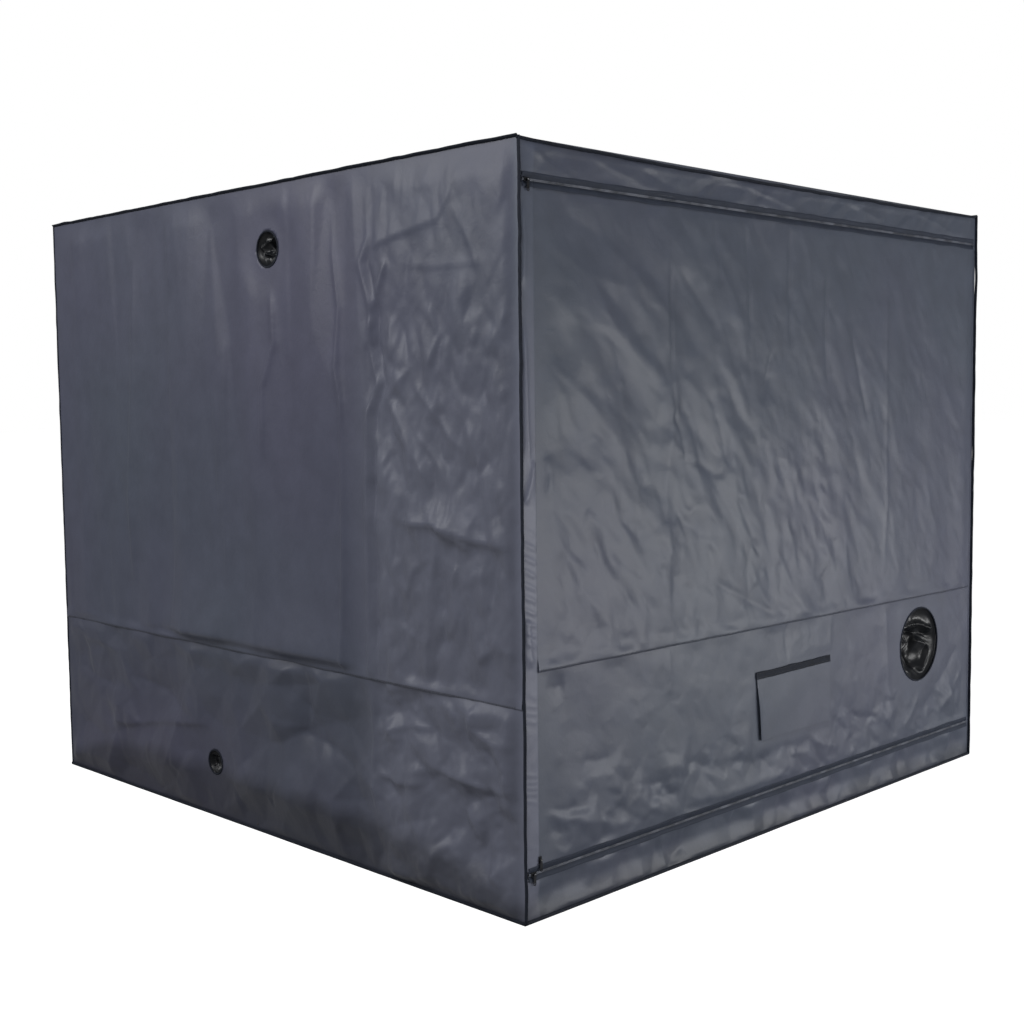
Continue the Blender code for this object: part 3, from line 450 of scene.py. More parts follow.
def held(a, b, lift, posts, rails=True):
    """The cloth can't sink into the tubes behind it: within 30 mm of a post or rail it stays
    above -3.5 mm, and elsewhere above -28 mm."""
    off = np.min([np.abs(a - post) for post in posts], axis=0)
    if rails:
        off = np.minimum(off, np.minimum(b, ROOF - b))
    floor = -0.0035 - 0.0245 * ease((off - 0.03) / 0.12)
    return np.where(lift < floor, floor + 0.2 * np.maximum(lift - floor, -0.005), lift)


def grid_corners(count_i, count_j, round_i=False, round_j=False):
    """Grid places (quad, corner, 2) of a grid's quads, in turn i, j; i+1, j; i+1, j+1; i, j+1."""
    i, j = np.meshgrid(np.arange(count_i - (not round_i)), np.arange(count_j - (not round_j)),
                       indexing="ij")
    corners = np.array([[i, i + 1, i + 1, i], [j, j, j + 1, j + 1]])
    return corners.reshape(2, 4, -1).transpose(2, 1, 0)


EDGE_INSET = 0.0003


def edged(grids, keep, axis):
    """Adds a line of points EDGE_INSET inside both ends of an axis, on each grid alike, so that
    the shading stays even up to a sheet's edge."""
    flipped = [np.moveaxis(grid, axis, 0) for grid in grids]
    shares = [(EDGE_INSET / np.linalg.norm(flipped[0][near] - flipped[0][end], axis=-1))[:, None]
              for end, near in ((0, 1), (-1, -2))]
    made = []
    for grid in flipped:
        first, last = (grid[end] + share * (grid[near] - grid[end])
                       for share, end, near in zip(shares, (0, -1), (1, -2)))
        grid = np.concatenate([grid[:1], first[None], grid[1:-1], last[None], grid[-1:]])
        made.append(np.moveaxis(grid, 0, axis))
    return made, np.concatenate([keep.take([0], axis), keep, keep.take([-1], axis)], axis)


def sheet_of(name, outer, inner, uv, front, back, keep=None, round_i=False, weld=False):
    """A sheet with two faces: quads on the outer points, the same turned over on the inner
    ones, and a rim along every open edge. keep is False for quads that are cut away. A round
    sheet joins on itself in i, with one more row of uv; weld closes it where points meet."""
    if not round_i:
        keep = np.ones(np.array(outer.shape[:2]) - 1, bool) if keep is None else keep
        for axis in (0, 1):
            (outer, inner, uv), keep = edged((outer, inner, uv), keep, axis)
    count_i, count_j = outer.shape[:2]
    corners = grid_corners(count_i, count_j, round_i)
    if keep is not None:
        corners = corners[keep.ravel()]
    faces = corners[..., 0] % count_i * count_j + corners[..., 1]
    face_uv = uv[corners[..., 0], corners[..., 1]]
    count = count_i * count_j
    edges = np.stack([faces, np.roll(faces, -1, 1)], -1).reshape(-1, 2)
    edge_uv = np.stack([face_uv, np.roll(face_uv, -1, 1)], 2).reshape(-1, 2, 2)
    alone = ~np.isin(edges @ (count, 1), edges @ (1, count))
    start, end = edges[alone].T
    rims = np.stack([end, start, start + count, end + count], 1)
    turned = [0, 3, 2, 1]
    faces = np.concatenate([faces, rims, faces[:, turned] + count])
    face_uv = np.concatenate([face_uv, edge_uv[alone][:, (1, 0, 0, 1)], face_uv[:, turned]])
    half = len(corners)
    points = np.concatenate([outer.reshape(-1, 3), inner.reshape(-1, 3)])
    worn = [(front, half + len(rims)), (back, half)]
    return put_mesh(name, points, faces, face_uv, worn, weld, half + np.arange(len(rims)))


def wall_sheet(name, side, a, b, lift, keep=None, back=None):
    """A wall's sheet of cloth from its places and lifts, film side in."""
    return sheet_of(name, on_wall(side, a, b, lift), on_wall(side, a, b, lift - CLOTH),
                    np.stack([a, b], -1), slate_cloth, back or silver_film, keep)


def mesh_lines(start, end, pitch, fine=None, fine_pitch=None):
    """Grid lines from start to end about pitch apart, or fine_pitch apart beyond fine."""
    if fine is None:
        return np.linspace(start, end, round((end - start) / pitch) + 1)
    coarse = np.linspace(start, fine, round((fine - start) / pitch) + 1)
    return np.concatenate([coarse, mesh_lines(fine, end, fine_pitch)[1:]])


HEM = 0.006


def panel(lines, low, high, rows, hem=False):
    """Places (a, b) on a panel between its lower and upper edges, each a height or a function of
    a; b is evenly spaced, or from a hem upwards, which has four rows of its own."""
    low, high = ((edge(lines) if callable(edge) else edge + 0 * lines)[:, None]
                 for edge in (low, high))
    b = low + hem * HEM + (high - low - hem * HEM) * np.linspace(0.0, 1.0, rows + 1)
    if hem:
        b = np.concatenate([low + np.array((0.0, 0.0014, 0.0028, 0.0044)), b], 1)
    return np.repeat(lines[:, None], b.shape[1], 1), b


def hemmed(b, low):
    """The lap of an upper cloth over a lower one: it stands out by LAP_RISE, easing back to the
    wall from 6 to 46 mm up, and its edge is rolled in by LAP_ROLL * (1 - height / HEM) ** 2."""
    roll = LAP_ROLL * np.clip(1 - (b - low) / HEM, 0, 1) ** 2
    return LAP_RISE * ease((low + 0.046 - b) / 0.04) - roll


def ring_hole(a, b, middle_a, middle_b, radius):
    """Cuts a round hole: points inside it move out onto its edge, and quads centred in it go."""
    off_a, off_b = a - middle_a, b - middle_b
    reach = np.hypot(off_a, off_b)
    stretch = np.where(reach < radius, radius / np.maximum(reach, 1e-6), 1.0)
    centre_a = (off_a[1:, 1:] + off_a[:-1, :-1]) / 2
    centre_b = (off_b[1:, 1:] + off_b[:-1, :-1]) / 2
    keep = np.hypot(centre_a, centre_b) > radius
    return middle_a + off_a * stretch, middle_b + off_b * stretch, keep


def calm(a, b, middle_a, middle_b, radius, fade=0.10):
    """One far from a port, zero over its ring and a little beyond, where the cloth lies flat."""
    return ease((np.hypot(a - middle_a, b - middle_b) - radius) / fade)


# Left wall: an upper cloth lapped over a lower one at a level seam and sewn with two rows. Its
# third nearest the door is crumpled; the rest hangs slack and droops over the seam.
SIDE_SEAM = 0.566
LAP = 0.012
LAP_RISE = 0.0046
LAP_ROLL = 0.0040
DROOP = 0.042
# Ports: the hole's middle a and b, and its radius
UPPER_PORT = (0.133, 1.808, 0.052)
LOWER_PORT = (-0.224, 0.179, 0.038)
RING_CLEAR = 0.016
# The posts behind a wall, by their a
POSTS = (-1.174, 0.0, 1.174)
# Folds of the upper cloth
LEFT_CREASES = (
    (7.5, 30, 10, -644, 1900, -670, 1450, -709, 1017, -700, 600),
    (4, 12, 8, -414, 1930, -421, 1720),
    (9, 16, 8, 144, 1720, 156, 1529, 96, 1396, 88, 1150),
    (6, 22, 10, -112, 1600, -126, 1040, -120, 700),
    (4, 14, 8, -169, 1420, -155, 950),
    (8.5, 16, 8, 449, 1960, 451, 1772, 477, 1614, 462, 1439, 483, 1350, 483, 1124, 475, 300),
    (11, 30, 10, 600, 1990, 610, 1797, 578, 1732, 622, 1606, 614, 1511, 645, 1396, 605, 1320, 590,
     1069, 590, 250),
    (-9, 7, 26, 632, 1880, 640, 1797, 610, 1732, 655, 1606, 648, 1511, 678, 1396, 638, 1320, 625,
     1069, 625, 400),
    (7, 12, 10, 700, 1740, 672, 1690, 631, 1600),
    (3.6, 40, 5, 600, 1765, 700, 1790, 900, 1822, 950, 1880, 960, 1940),
    (3.4, 30, 5, 955, 1860, 1030, 1740, 1060, 1660),
    (6, 10, 30, 745, 1560, 778, 1431, 689, 1358, 773, 1245, 855, 1135, 920, 1080),
    (6, 10, 12, 720, 1360, 705, 1280, 780, 1220),
    (6, 12, 12, 790, 1410, 926, 1264, 1000, 1200),
    (5, 50, 40, 990, 1740, 1003, 1380, 990, 1200),
    (2.2, 30, 5, 740, 1715, 900, 1700, 1080, 1700),
    (15, 60, 13, 700, 1040, 760, 1015, 870, 1020, 1026, 985, 1190, 972),
    (10, 30, 10, 880, 1005, 950, 985, 1020, 955),
    (5.5, 6, 30, 860, 930, 790, 890, 755, 800),
    (6.5, 8, 50, 970, 930, 940, 850, 960, 770, 910, 700),
    (6, 6, 40, 1050, 920, 1060, 860, 1090, 800),
    (6, 10, 40, 700, 740, 800, 700, 860, 680),
    (7, 50, 12, 1020, 660, 1100, 710, 1190, 700),
    (5.5, 14, 10, 1000, 1300, 1050, 1170, 1020, 1080),
    (5, 12, 14, 860, 1620, 900, 1520, 860, 1420),
    (5, 6, 30, 800, 1270, 900, 1180, 930, 1110),
)
# Folds of the lower cloth
LEFT_LOW_CREASES = (
    (-20, 80, 50, -740, 400, -550, 370, -360, 310),
    (-18, 80, 50, 200, 360, 420, 330, 580, 270),
    (12, 40, 12, 590, 570, 600, 420, 611, 260, 620, 150),
    (11, 40, 12, 611, 300, 720, 290, 830, 303),
    (12, 50, 12, -900, 220, -740, 228, -500, 275, -220, 305),
    (-6, 22, 30, 243, 471, 330, 380, 421, 291),
    (10, 40, 12, 640, 420, 750, 455, 860, 457),
    (11, 50, 12, 800, 375, 900, 350, 1020, 340, 1180, 335),
    (6, 40, 10, 840, 560, 880, 440, 900, 360),
    (6, 30, 8, 1000, 550, 1030, 420),
    (7, 50, 10, 950, 280, 1050, 180, 1120, 50),
    (6, 50, 12, 720, 260, 800, 160, 840, 50),
    (-12, 60, 30, -1120, 400, -950, 360, -800, 340),
    (5, 30, 6, -1050, 500, -920, 500, -800, 470),
)


def left_rest(a, b):
    """What both cloths share: held at the corners, roof and floor, and flat round the ports."""
    still = ease((1.19 - np.abs(a)) / 0.05) * ease((ROOF - b) / 0.09) * ease(b / 0.04)
    for port in (UPPER_PORT, LOWER_PORT):
        still = still * calm(a, b, port[0], port[1], port[2] + RING_CLEAR)
    return still


def near_third(a):
    """One in the third nearest the door, zero in the rest."""
    return ease((a - 0.57) / 0.07)


def mid_wall(a):
    """cos(pi * a / 2.4): one at a wall's middle and nearly zero at its ends."""
    return np.cos(a * math.pi / 2.4)


def left_seam_lift(a):
    """The seam itself: sewn nearly straight, it bows out 6 mm in the middle of the wall."""
    return 0.006 * mid_wall(a) ** 0.5 + 0.0015 * waver(a, 0.22, 27)


def left_upper_lift(a, b):
    """The near third is crumpled and stands prouder towards the corner; soft upright folds
    elsewhere; drawn folds; and a droop that stands out just above the seam."""
    near = near_third(a)
    rough = near * (0.35 + 0.65 * ease((1.72 - b) / 0.25))
    fold = rough * (0.0100 * crushed(a, b, 0.080, 2.5, 0.06, 11)
                    + 0.0045 * crushed(a, b, 0.038, 1.9, -0.25, 23)
                    + 0.0034 * crimped(a, b, 0.120, 1.6, 0.2, 15)
                    + 0.0008 * crimped(a, b, 0.050, 1.5, -0.3, 17))
    fold += near * 0.006 * np.sin(2.6 * (a - 0.6))
    fold += (1 - near) * (0.0024 * swell(a, b, 0.36, 4.0, 0.05, 31)
                          + 0.0095 * crushed(a, b, 0.085, 8.0, 0.03, 37))
    over = b - SIDE_SEAM
    slack = ease((a + 0.72) / 0.30) * ease((0.58 - a) / 0.16)
    slack = slack * (0.76 + 0.24 * np.cos(12 * a + 3.0))
    fade = np.exp(-(np.maximum(over - 0.040, 0) / 0.16) ** 1.3)
    droop = DROOP * slack * ease(over / 0.040) * fade
    lift = left_rest(a, b) * (fold + creases(a, b, LEFT_CREASES) + droop + 0.004)
    sewn = ease(over / 0.03)
    return sewn * held(a, b, lift, POSTS) + (1 - sewn) * left_seam_lift(a) * left_rest(a, b)


def left_lower_lift(a, b):
    """Large flat dents, drawn folds, finer crumples by the corner, and a belly over a line that
    is low at both ends, below which the cloth turns in under the frame."""
    near = near_third(a)
    middle = mid_wall(a)
    fold = 0.0200 * crushed(a, b, 0.14, 0.8, 0.35, 41)
    fold = fold + (0.7 + near) * 0.0080 * crushed(a, b, 0.060, 1.2, 0.5, 43)
    fold = fold + near * (0.0040 * crimped(a, b, 0.120, 1.3, 0.3, 45)
                          + 0.0010 * crimped(a, b, 0.050, 1.3, 0.5, 47))
    fold = fold + 0.010 * ease((b - 0.30) / 0.26) * middle ** 0.5
    crest = 0.035 + 0.115 * middle ** 0.8
    belly = 0.030 * np.exp(-np.abs((b - crest) / np.where(b > crest, 0.16, 0.065)) ** 1.4)
    belly = belly * middle ** 0.6
    lift = left_rest(a, b) * (fold + creases(a, b, LEFT_LOW_CREASES) + belly)
    sewn = ease((SIDE_SEAM + LAP - b) / 0.05)
    return sewn * held(a, b, lift, POSTS) + (1 - sewn) * left_seam_lift(a) * left_rest(a, b)


a, b = panel(mesh_lines(-WALL, WALL, 0.0098, 0.42, 0.0068), SIDE_SEAM - LAP / 2, ROOF, 168,
             hem=True)
lap = hemmed(b, SIDE_SEAM - LAP / 2)
a, b, keep = ring_hole(a, b, *UPPER_PORT)
left_upper = wall_sheet("left_wall_upper", "left", a, b, left_upper_lift(a, b) + lap, keep)

a, b = panel(mesh_lines(-WALL, WALL, 0.0075), CLOTH, SIDE_SEAM + LAP, 80)
a, b, keep = ring_hole(a, b, *LOWER_PORT)
left_lower = wall_sheet("left_wall_lower", "left", a, b, left_lower_lift(a, b), keep)

for made, flat in ((left_upper, (2.38, 1.44)), (left_lower, (2.38, 0.58))):
    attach(made, "tent")
    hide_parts("left_wall")


# Right and back walls: the same two cloths each, seen less and drawn more plainly, with upright
# packing folds and soft slack between the posts. The back one has a duct port high up.
BACK_PORT = (0.70, 1.62, 0.128)
BACK_REACH = 1.1884


def plain_lift(a, b, seed):
    """Packing folds at even steps, wide flats that a few sharp folds part, soft swells, and a
    droop over the seam, which is held nearly straight."""
    still = ease((1.18 - np.abs(a)) / 0.06) * ease((ROOF - b) / 0.09) * ease(b / 0.05)
    marks = [(3.5 if k % 2 else -3, 20, 10, spot, 1920, spot + 20, 1200, spot, 100)
             for k, spot in enumerate(range(-900, 1000, 300))]
    over = b - SIDE_SEAM
    droop = 0.010 * ease(over / 0.04) * np.exp(-(np.maximum(over - 0.04, 0) / 0.2) ** 1.4)
    patch_high = 0.5 + 0.5 * np.tanh(2 * ripple(a / 0.9, b / 0.9, seed + 9))
    fold = (0.0030 * swell(a, b, 0.45, 3.0, 0.1, seed)
            + (0.0010 + 0.0040 * patch_high) * crushed(a, b, 0.15, 1.6, 0.2, seed + 3))
    lift = still * (fold + creases(a, b, marks) + droop * (0.6 + 0.4 * np.cos(5 * a + seed)))
    sewn = ease(np.abs(over) / 0.05)
    return sewn * held(a, b, lift, POSTS) + (1 - sewn) * 0.003 * still


for side, reach, node_name, seed in (("right", WALL, "right_wall", 61),
                                     ("back", BACK_REACH, "back_wall", 71)):
    for part, low, high, rows, length in (("upper", SIDE_SEAM - LAP / 2, ROOF, 94, 1.44),
                                          ("lower", CLOTH, SIDE_SEAM + LAP, 38, 0.58)):
        a, b = panel(mesh_lines(-reach, reach, 0.015), low, high, rows, hem=part == "upper")
        lift = plain_lift(a, b, seed)
        keep = None
        if side == "back" and part == "upper":
            lift = lift * calm(a, b, BACK_PORT[0], BACK_PORT[1], BACK_PORT[2] + 0.02)
            a, b, keep = ring_hole(a, b, *BACK_PORT)
        if part == "upper":
            lift = lift + hemmed(b, low)
        made = wall_sheet(f"{node_name}_{part}", side, a, b, lift, keep)
        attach(made, "tent")
        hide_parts(node_name)


# Front surround: the fixed cloth round the door. A band above it, a band below it that the
# bottom rail presses out, a puckered strip by the near corner and a narrow one by the far corner.
ZIP_TOP = 1.895
ZIP_LOW = 0.128
ZIP_SIDE = -1.134
ZIP_END = 1.1762
SLOT = 0.010
SIDE_SLOT = 0.0001
FRONT_EDGE = 1.1882
# The top band's folds
BAND_CREASES = (
    (5, 20, 10, -1170, 1985, -1080, 1950, -970, 1910),
    (-4.5, 16, 8, -1120, 1970, -1030, 1935, -950, 1905),
    (3.5, 24, 12, -920, 1985, -800, 1950, -660, 1910),
    (-3.5, 20, 10, -740, 1980, -620, 1940, -500, 1910),
    (4.5, 22, 11, -260, 1985, -120, 1950, 80, 1910),
    (-3, 20, 10, -200, 1950, -60, 1930, 40, 1905),
    (3, 24, 12, 300, 1985, 440, 1950, 620, 1910),
    (3.5, 24, 12, 750, 1985, 900, 1950, 1060, 1910),
)
# The near strip's folds
STRIP_CREASES = (
    (8, 8, 20, -1178, 1560, -1172, 1420, -1168, 1280, -1160, 1160),
    (7, 16, 8, -1142, 1200, -1156, 1140, -1180, 1080),
    (6, 8, 16, -1172, 800, -1166, 720, -1158, 660),
    (5, 8, 14, -1176, 1840, -1170, 1740, -1174, 1620),
)


def ends_held(a):
    """Zero at both corners of the front, one from 60 mm inside them."""
    return ease((FRONT_EDGE - np.abs(a)) / 0.06)


def front_drop(a):
    """How far the cover's top front edge hangs below the top rail between the corners."""
    return 0.013 * mid_wall(a) ** 0.5


def top_band_lift(a, b):
    """Diagonal pulls from the near top corner, pressed out a little by the top rail."""
    hold = ease((b - ZIP_TOP - SLOT) / 0.018) * ease((ROOF - b) / 0.012) * ends_held(a)
    rail = 0.002 * np.exp(-((b - 1.984) / 0.012) ** 2) * ends_held(a)
    fold = 0.0020 * swell(a, b, 0.20, 2.2, -0.95, 81) + 0.0042 * crushed(a, b, 0.04, 2.2, -0.9, 83)
    return hold * (fold + creases(a, b, BAND_CREASES)) + rail


def low_band_lift(a, b):
    """Upright soft folds below the bottom zip; the bottom rail stands out under the cloth."""
    hold = ease((ZIP_LOW - SLOT - b) / 0.022) * ease((b - 0.004) / 0.014) * ends_held(a)
    rail = 0.0035 * np.exp(-((b - 0.017) / 0.014) ** 2) * ends_held(a)
    dip = -0.0050 * np.exp(-((b - 0.066) / 0.026) ** 2)
    fold = 0.0024 * swell(a, b, 0.24, 1.6, 0.35, 91) + 0.0060 * crushed(a, b, 0.045, 1.4, 0.4, 93)
    return hold * (fold + dip) + rail


def strip_lift(a, b):
    """Long curved pulls along the near corner, and short puckers where the zip's sewing draws
    the cloth together lower down."""
    across = ease((a + 1.188) / 0.008) * ease((ZIP_SIDE - SIDE_SLOT - a) / 0.014)
    run = b + 0.6 * (a + 1.167) + 0.05 * waver(b, 0.21, 95)
    pucker = (0.5 + 0.5 * np.cos(2 * math.pi * run / 0.046)) ** 2
    low = (0.35 + 0.65 * ease((b - 0.62) / 0.1)) * ease((1.06 - b) / 0.1) * ease((b - 0.15) / 0.1)
    return across * (0.0008 + 0.0022 * low * pucker + creases(a, b, STRIP_CREASES))


front_parts = (
    ("front_band_top", mesh_lines(-FRONT_EDGE, FRONT_EDGE, 0.008), ZIP_TOP + SLOT, ROOF, 14,
     top_band_lift, (2.376, 0.0935)),
    ("front_band_low", mesh_lines(-FRONT_EDGE, FRONT_EDGE, 0.008), CLOTH, ZIP_LOW - SLOT, 18,
     low_band_lift, (2.376, 0.1165)),
    ("front_strip_near", mesh_lines(-FRONT_EDGE, ZIP_SIDE - SIDE_SLOT, 0.0045), ZIP_LOW + SLOT,
     ZIP_TOP - SLOT, 400, strip_lift, (0.0524, 1.747)),
    ("front_strip_far", mesh_lines(ZIP_END, FRONT_EDGE, 0.004), ZIP_LOW - SLOT,
     ZIP_TOP + SLOT, 160, lambda a, b: 0 * a, (0.012, 1.787)),
)
for name, lines, low, high, rows, lift, flat in front_parts:
    a, b = panel(lines, low, high, rows)
    drop = (0.003 + front_drop(a)) * ease((b - 1.93) / 0.07) if name == "front_band_top" else 0.0
    made = wall_sheet(name, "front", a, b - drop, lift(a, b))
    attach(made, "tent")
    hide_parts("front_surround")


# Door: nearly the whole front wall, an upper cloth lapped over a lower one at a sewn seam. It
# hangs from its sewn edge at the far corner, and carries the duct port and the screened vent.
DOOR_LEFT = ZIP_SIDE + SIDE_SLOT
DOOR_RIGHT = ZIP_END - 0.0016
DOOR_LOW = ZIP_LOW + SLOT
DOOR_HIGH = ZIP_TOP - SLOT
DOOR_SEAM = 0.656
SEAM_FALL = 0.016
DUCT_PORT = (0.815, 0.469, 0.128)
# The net window: its middle's a and b, and half its width and height
VENT = (0.0275, 0.392, 0.18, 0.0775)
# Folds of the door's upper cloth
DOOR_CREASES = (
    (-4, 10, 10, -238, 1860, -225, 1700, -212, 1500),
    (-6.5, 13, 13, -3, 1880, 0, 1700, 8, 1480),
    (-4.5, 10, 10, 205, 1760, 196, 1593, 208, 1370),
    (-4.5, 11, 11, 345, 1570, 400, 1420, 465, 1250),
    (-4.5, 11, 11, -90, 1500, -120, 1400, -155, 1320),
    (5, 30, 30, -606, 1870, -601, 1529, -579, 1344, -611, 1101, -600, 800, -599, 660),
    (6, 50, 50, -1080, 1700, -850, 1560, -594, 1381),
    (-4.5, 40, 40, -1020, 1600, -800, 1480, -600, 1330),
    (4.5, 40, 40, -900, 1780, -700, 1660, -500, 1500),
    (-4.5, 35, 35, -560, 1720, -450, 1620, -360, 1500),
    (4.5, 45, 45, -1100, 1450, -920, 1330, -760, 1160),
    (4, 35, 35, -420, 1780, -300, 1640, -220, 1460),
    (-4, 4, 12, -582, 1740, -588, 1560, -586, 1400, -560, 1250),
    (-4, 4, 12, -387, 1870, -380, 1760, -350, 1660),
    (-4, 10, 4, -590, 1310, -545, 1250, -520, 1160),
    (-3.5, 10, 10, -570, 1180, -458, 1161, -340, 1110),
    (-3, 12, 12, -420, 1370, -360, 1260, -313, 1150),
    (3, 12, 12, 564, 1800, 570, 1400, 578, 1000, 562, 680),
    (-4, 12, 12, -930, 1010, -855, 880, -731, 755),
    (-3, 10, 10, -1045, 960, -970, 840),
    (-4.5, 12, 12, -290, 1070, -220, 960, -150, 850),
    (-4, 12, 12, -430, 830, -211, 735, -51, 668),
    (3.5, 12, 12, -30, 1000, 10, 900, 45, 800),
    (-3, 10, 10, 130, 1100, 190, 950, 220, 860),
    (9, 12, 12, -1100, 1210, -1085, 1150, -1100, 1090),
)
# Folds of its lower cloth
DOOR_LOW_CREASES = (
    (2.5, 12, 12, -599, 660, -598, 580, -592, 500),
    (-3, 8, 8, -14, 660, -10, 580, -4, 513),
    (2.2, 14, 14, 575, 660, 600, 450, 627, 200),
    (1.8, 10, 10, 236, 660, 237, 580, 238, 510),
    (-5.5, 20, 20, -1170, 300, -1050, 272, -910, 255),
    (6, 35, 35, -1020, 235, -900, 210, -760, 165),
    (-6, 40, 40, -860, 260, -770, 200, -670, 150),
    (-3.4, 12, 12, -760, 285, -660, 260, -580, 265),
    (-3.4, 10, 10, -700, 235, -620, 215, -550, 225),
    (-5, 20, 20, -1110, 610, -1070, 600, -1030, 605),
    (-2.8, 12, 12, -970, 390, -900, 375, -850, 380),
    (-5, 30, 30, 1100, 430, 1020, 350, 920, 290),
    (6, 30, 30, 1140, 340, 1040, 250, 950, 190),
    (4.5, 20, 20, 840, 310, 780, 240, 700, 180),
    (-4, 20, 20, 300, 340, 420, 270, 560, 250),
    (4, 20, 20, 100, 270, 200, 220, 300, 190),
    (-4, 14, 14, -200, 280, -120, 220, -80, 180),
)


def door_seam(a):
    """The seam runs almost level, SEAM_FALL lower at the far edge than by the zip."""
    return DOOR_SEAM - SEAM_FALL * (a - DOOR_LEFT) / (DOOR_RIGHT - DOOR_LEFT)


def door_rest(a, b):
    """Held at the zips and the sewn edge, and flat round the duct port and the vent."""
    still = ease((a - DOOR_LEFT) / 0.09) * ease((DOOR_RIGHT - a) / 0.06)
    still = still * ease((b - DOOR_LOW) / 0.030) * ease((DOOR_HIGH - b) / 0.030)
    still = still * calm(a, b, DUCT_PORT[0], DUCT_PORT[1], DUCT_PORT[2] + RING_CLEAR)
    off = np.maximum(np.abs(a - VENT[0]) - VENT[2] - 0.02, np.abs(b - VENT[1]) - VENT[3] - 0.04)
    return still * ease(off / 0.05)


def door_seam_lift(a):
    """The seam is sewn nearly straight: it wavers in and out by about a millimetre."""
    ends = ease((a - DOOR_LEFT) / 0.05) * ease((DOOR_RIGHT - a) / 0.05)
    return ends * (0.0015 + 0.0010 * waver(a, 0.25, 99))


def door_lap(a, b):
    """The upper cloth's lap over the lower one, flat by the sewn edge that the door turns on."""
    return hemmed(b, door_seam(a) - LAP / 2) * ease((DOOR_RIGHT - a) / 0.04)


def door_upper_lift(a, b):
    """Broad diagonal pulls at the upper left, small sharp wrinkles in the lower half, soft
    upright swells, and drawn folds."""
    broad = patch(a, b, -0.70, 1.45, 0.66, 0.45)
    fine = patch(a, b, -0.45, 0.95, 0.85, 0.42)
    fold = broad * (0.0012 * swell(a, b, 0.20, 3.0, 0.85, 101)
                    + 0.0062 * crushed(a, b, 0.075, 2.4, 0.85, 102))
    fold = fold + (0.5 + 0.7 * fine) * (0.0040 * crushed(a, b, 0.050, 2.2, 0.6, 103)
                                        + 0.0019 * crushed(a, b, 0.026, 1.9, 0.7, 105))
    fold = fold + 0.0018 * swell(a, b, 0.30, 4.0, 0.05, 107)
    lift = door_rest(a, b) * (fold + creases(a, b, DOOR_CREASES) + 0.002)
    sewn = ease((b - door_seam(a) + 0.002) / 0.03)
    return sewn * held(a, b, lift, POSTS[::2], rails=False) + (1 - sewn) * door_seam_lift(a)


def door_lower_lift(a, b):
    """Nearly flat cloth with shallow dents, mostly along the bottom zip."""
    low = ease((0.40 - b) / 0.18)
    fold = (0.35 + low) * (0.0056 * crushed(a, b, 0.072, 1.3, 0.5, 113)
                           + 0.0022 * crushed(a, b, 0.028, 1.5, 0.9, 115))
    fold = fold + 0.0012 * swell(a, b, 0.30, 1.5, 0.4, 111)
    lift = door_rest(a, b) * (fold + creases(a, b, DOOR_LOW_CREASES))
    sewn = ease((door_seam(a) + LAP - b) / 0.05)
    return sewn * held(a, b, lift, POSTS[::2], rails=False) + (1 - sewn) * door_seam_lift(a)


a, b = panel(mesh_lines(DOOR_LEFT, DOOR_RIGHT, 0.0082), lambda a: door_seam(a) - LAP / 2,
             DOOR_HIGH, 152, hem=True)
lap = door_lap(a, b)
door_upper = wall_sheet("door_upper", "front", a, b, door_upper_lift(a, b) + lap)

a, b = panel(mesh_lines(DOOR_LEFT, DOOR_RIGHT, 0.0066), DOOR_LOW,
             lambda a: door_seam(a) + LAP, 80)
lift = door_lower_lift(a, b)
a, b, keep = ring_hole(a, b, *DUCT_PORT)
middle_a, middle_b = (a[1:, 1:] + a[:-1, :-1]) / 2, (b[1:, 1:] + b[:-1, :-1]) / 2
window = (np.abs(middle_a - VENT[0]) < VENT[2]) & (np.abs(middle_b - VENT[1]) < VENT[3])
door_lower = wall_sheet("door_lower", "front", a, b, lift, keep & ~window)

for made, flat, area in ((door_upper, (2.30, 1.25), None), (door_lower, (2.30, 0.535), 1.12)):
    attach(made, "door")
    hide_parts("door_panel")


# Roof and floor sheets: the same cloth. The roof rests on the rails and the two hanging bars and
# sags between them; the floor sheet lies flat under the frame.
BAR_X = 0.6
ROOF_DIP = 0.0040


def roof_sag(x, y):
    """Sags between the rails and bars, 3 mm deep, so that the bars can slide under it."""
    arch_x = np.abs(np.sin(math.pi * (np.abs(x) - BAR_X) / (2 * BAR_X))) ** 0.7
    arch_y = np.cos(math.pi * y / (2 * WALL)) ** 0.5
    wrinkle = (0.0018 * crushed(x, y, 0.17, 1.4, 0.5, 121)
               + 0.0012 * swell(x, y, 0.25, 2.0, 1.2, 123))
    inside = ease((WALL - np.abs(x)) / 0.06) * ease((WALL - np.abs(y)) / 0.06)
    off_bar = ease((np.abs(np.abs(x) - BAR_X) - 0.012) / 0.06)
    sag = np.clip(0.0026 * arch_x * arch_y - 0.5 * wrinkle * arch_x, -0.004, 0.0034)
    return -inside * off_bar * sag


# The front edge dips with the cover; a row of points 6 mm behind it ends the dip there
lines = mesh_lines(-WALL, WALL, 0.017)
x, y = np.meshgrid(lines, np.insert(lines, 1, 0.006 - WALL), indexing="ij")
top = ROOF + CLOTH + roof_sag(x, y)
top = top - (0.003 + front_drop(x)) * np.exp(-((y + WALL) / ROOF_DIP) ** 2)
sheet_uv = np.stack([x, y], -1)
roof = sheet_of("roof_sheet", np.stack([x, y, top], -1), np.stack([x, y, top - CLOTH], -1),
                sheet_uv, slate_cloth, silver_film)
under = 0 * x + 0.0002
ground = sheet_of("floor_cloth", np.stack([x, y, under + CLOTH - 0.0004], -1),
                  np.stack([x, y, under], -1), sheet_uv, slate_cloth, slate_cloth)
for made, packed, way in ((roof, "roof_panel", "stretched"), (ground, "floor_sheet", "laid")):
    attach(made, "tent")
    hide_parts(packed)


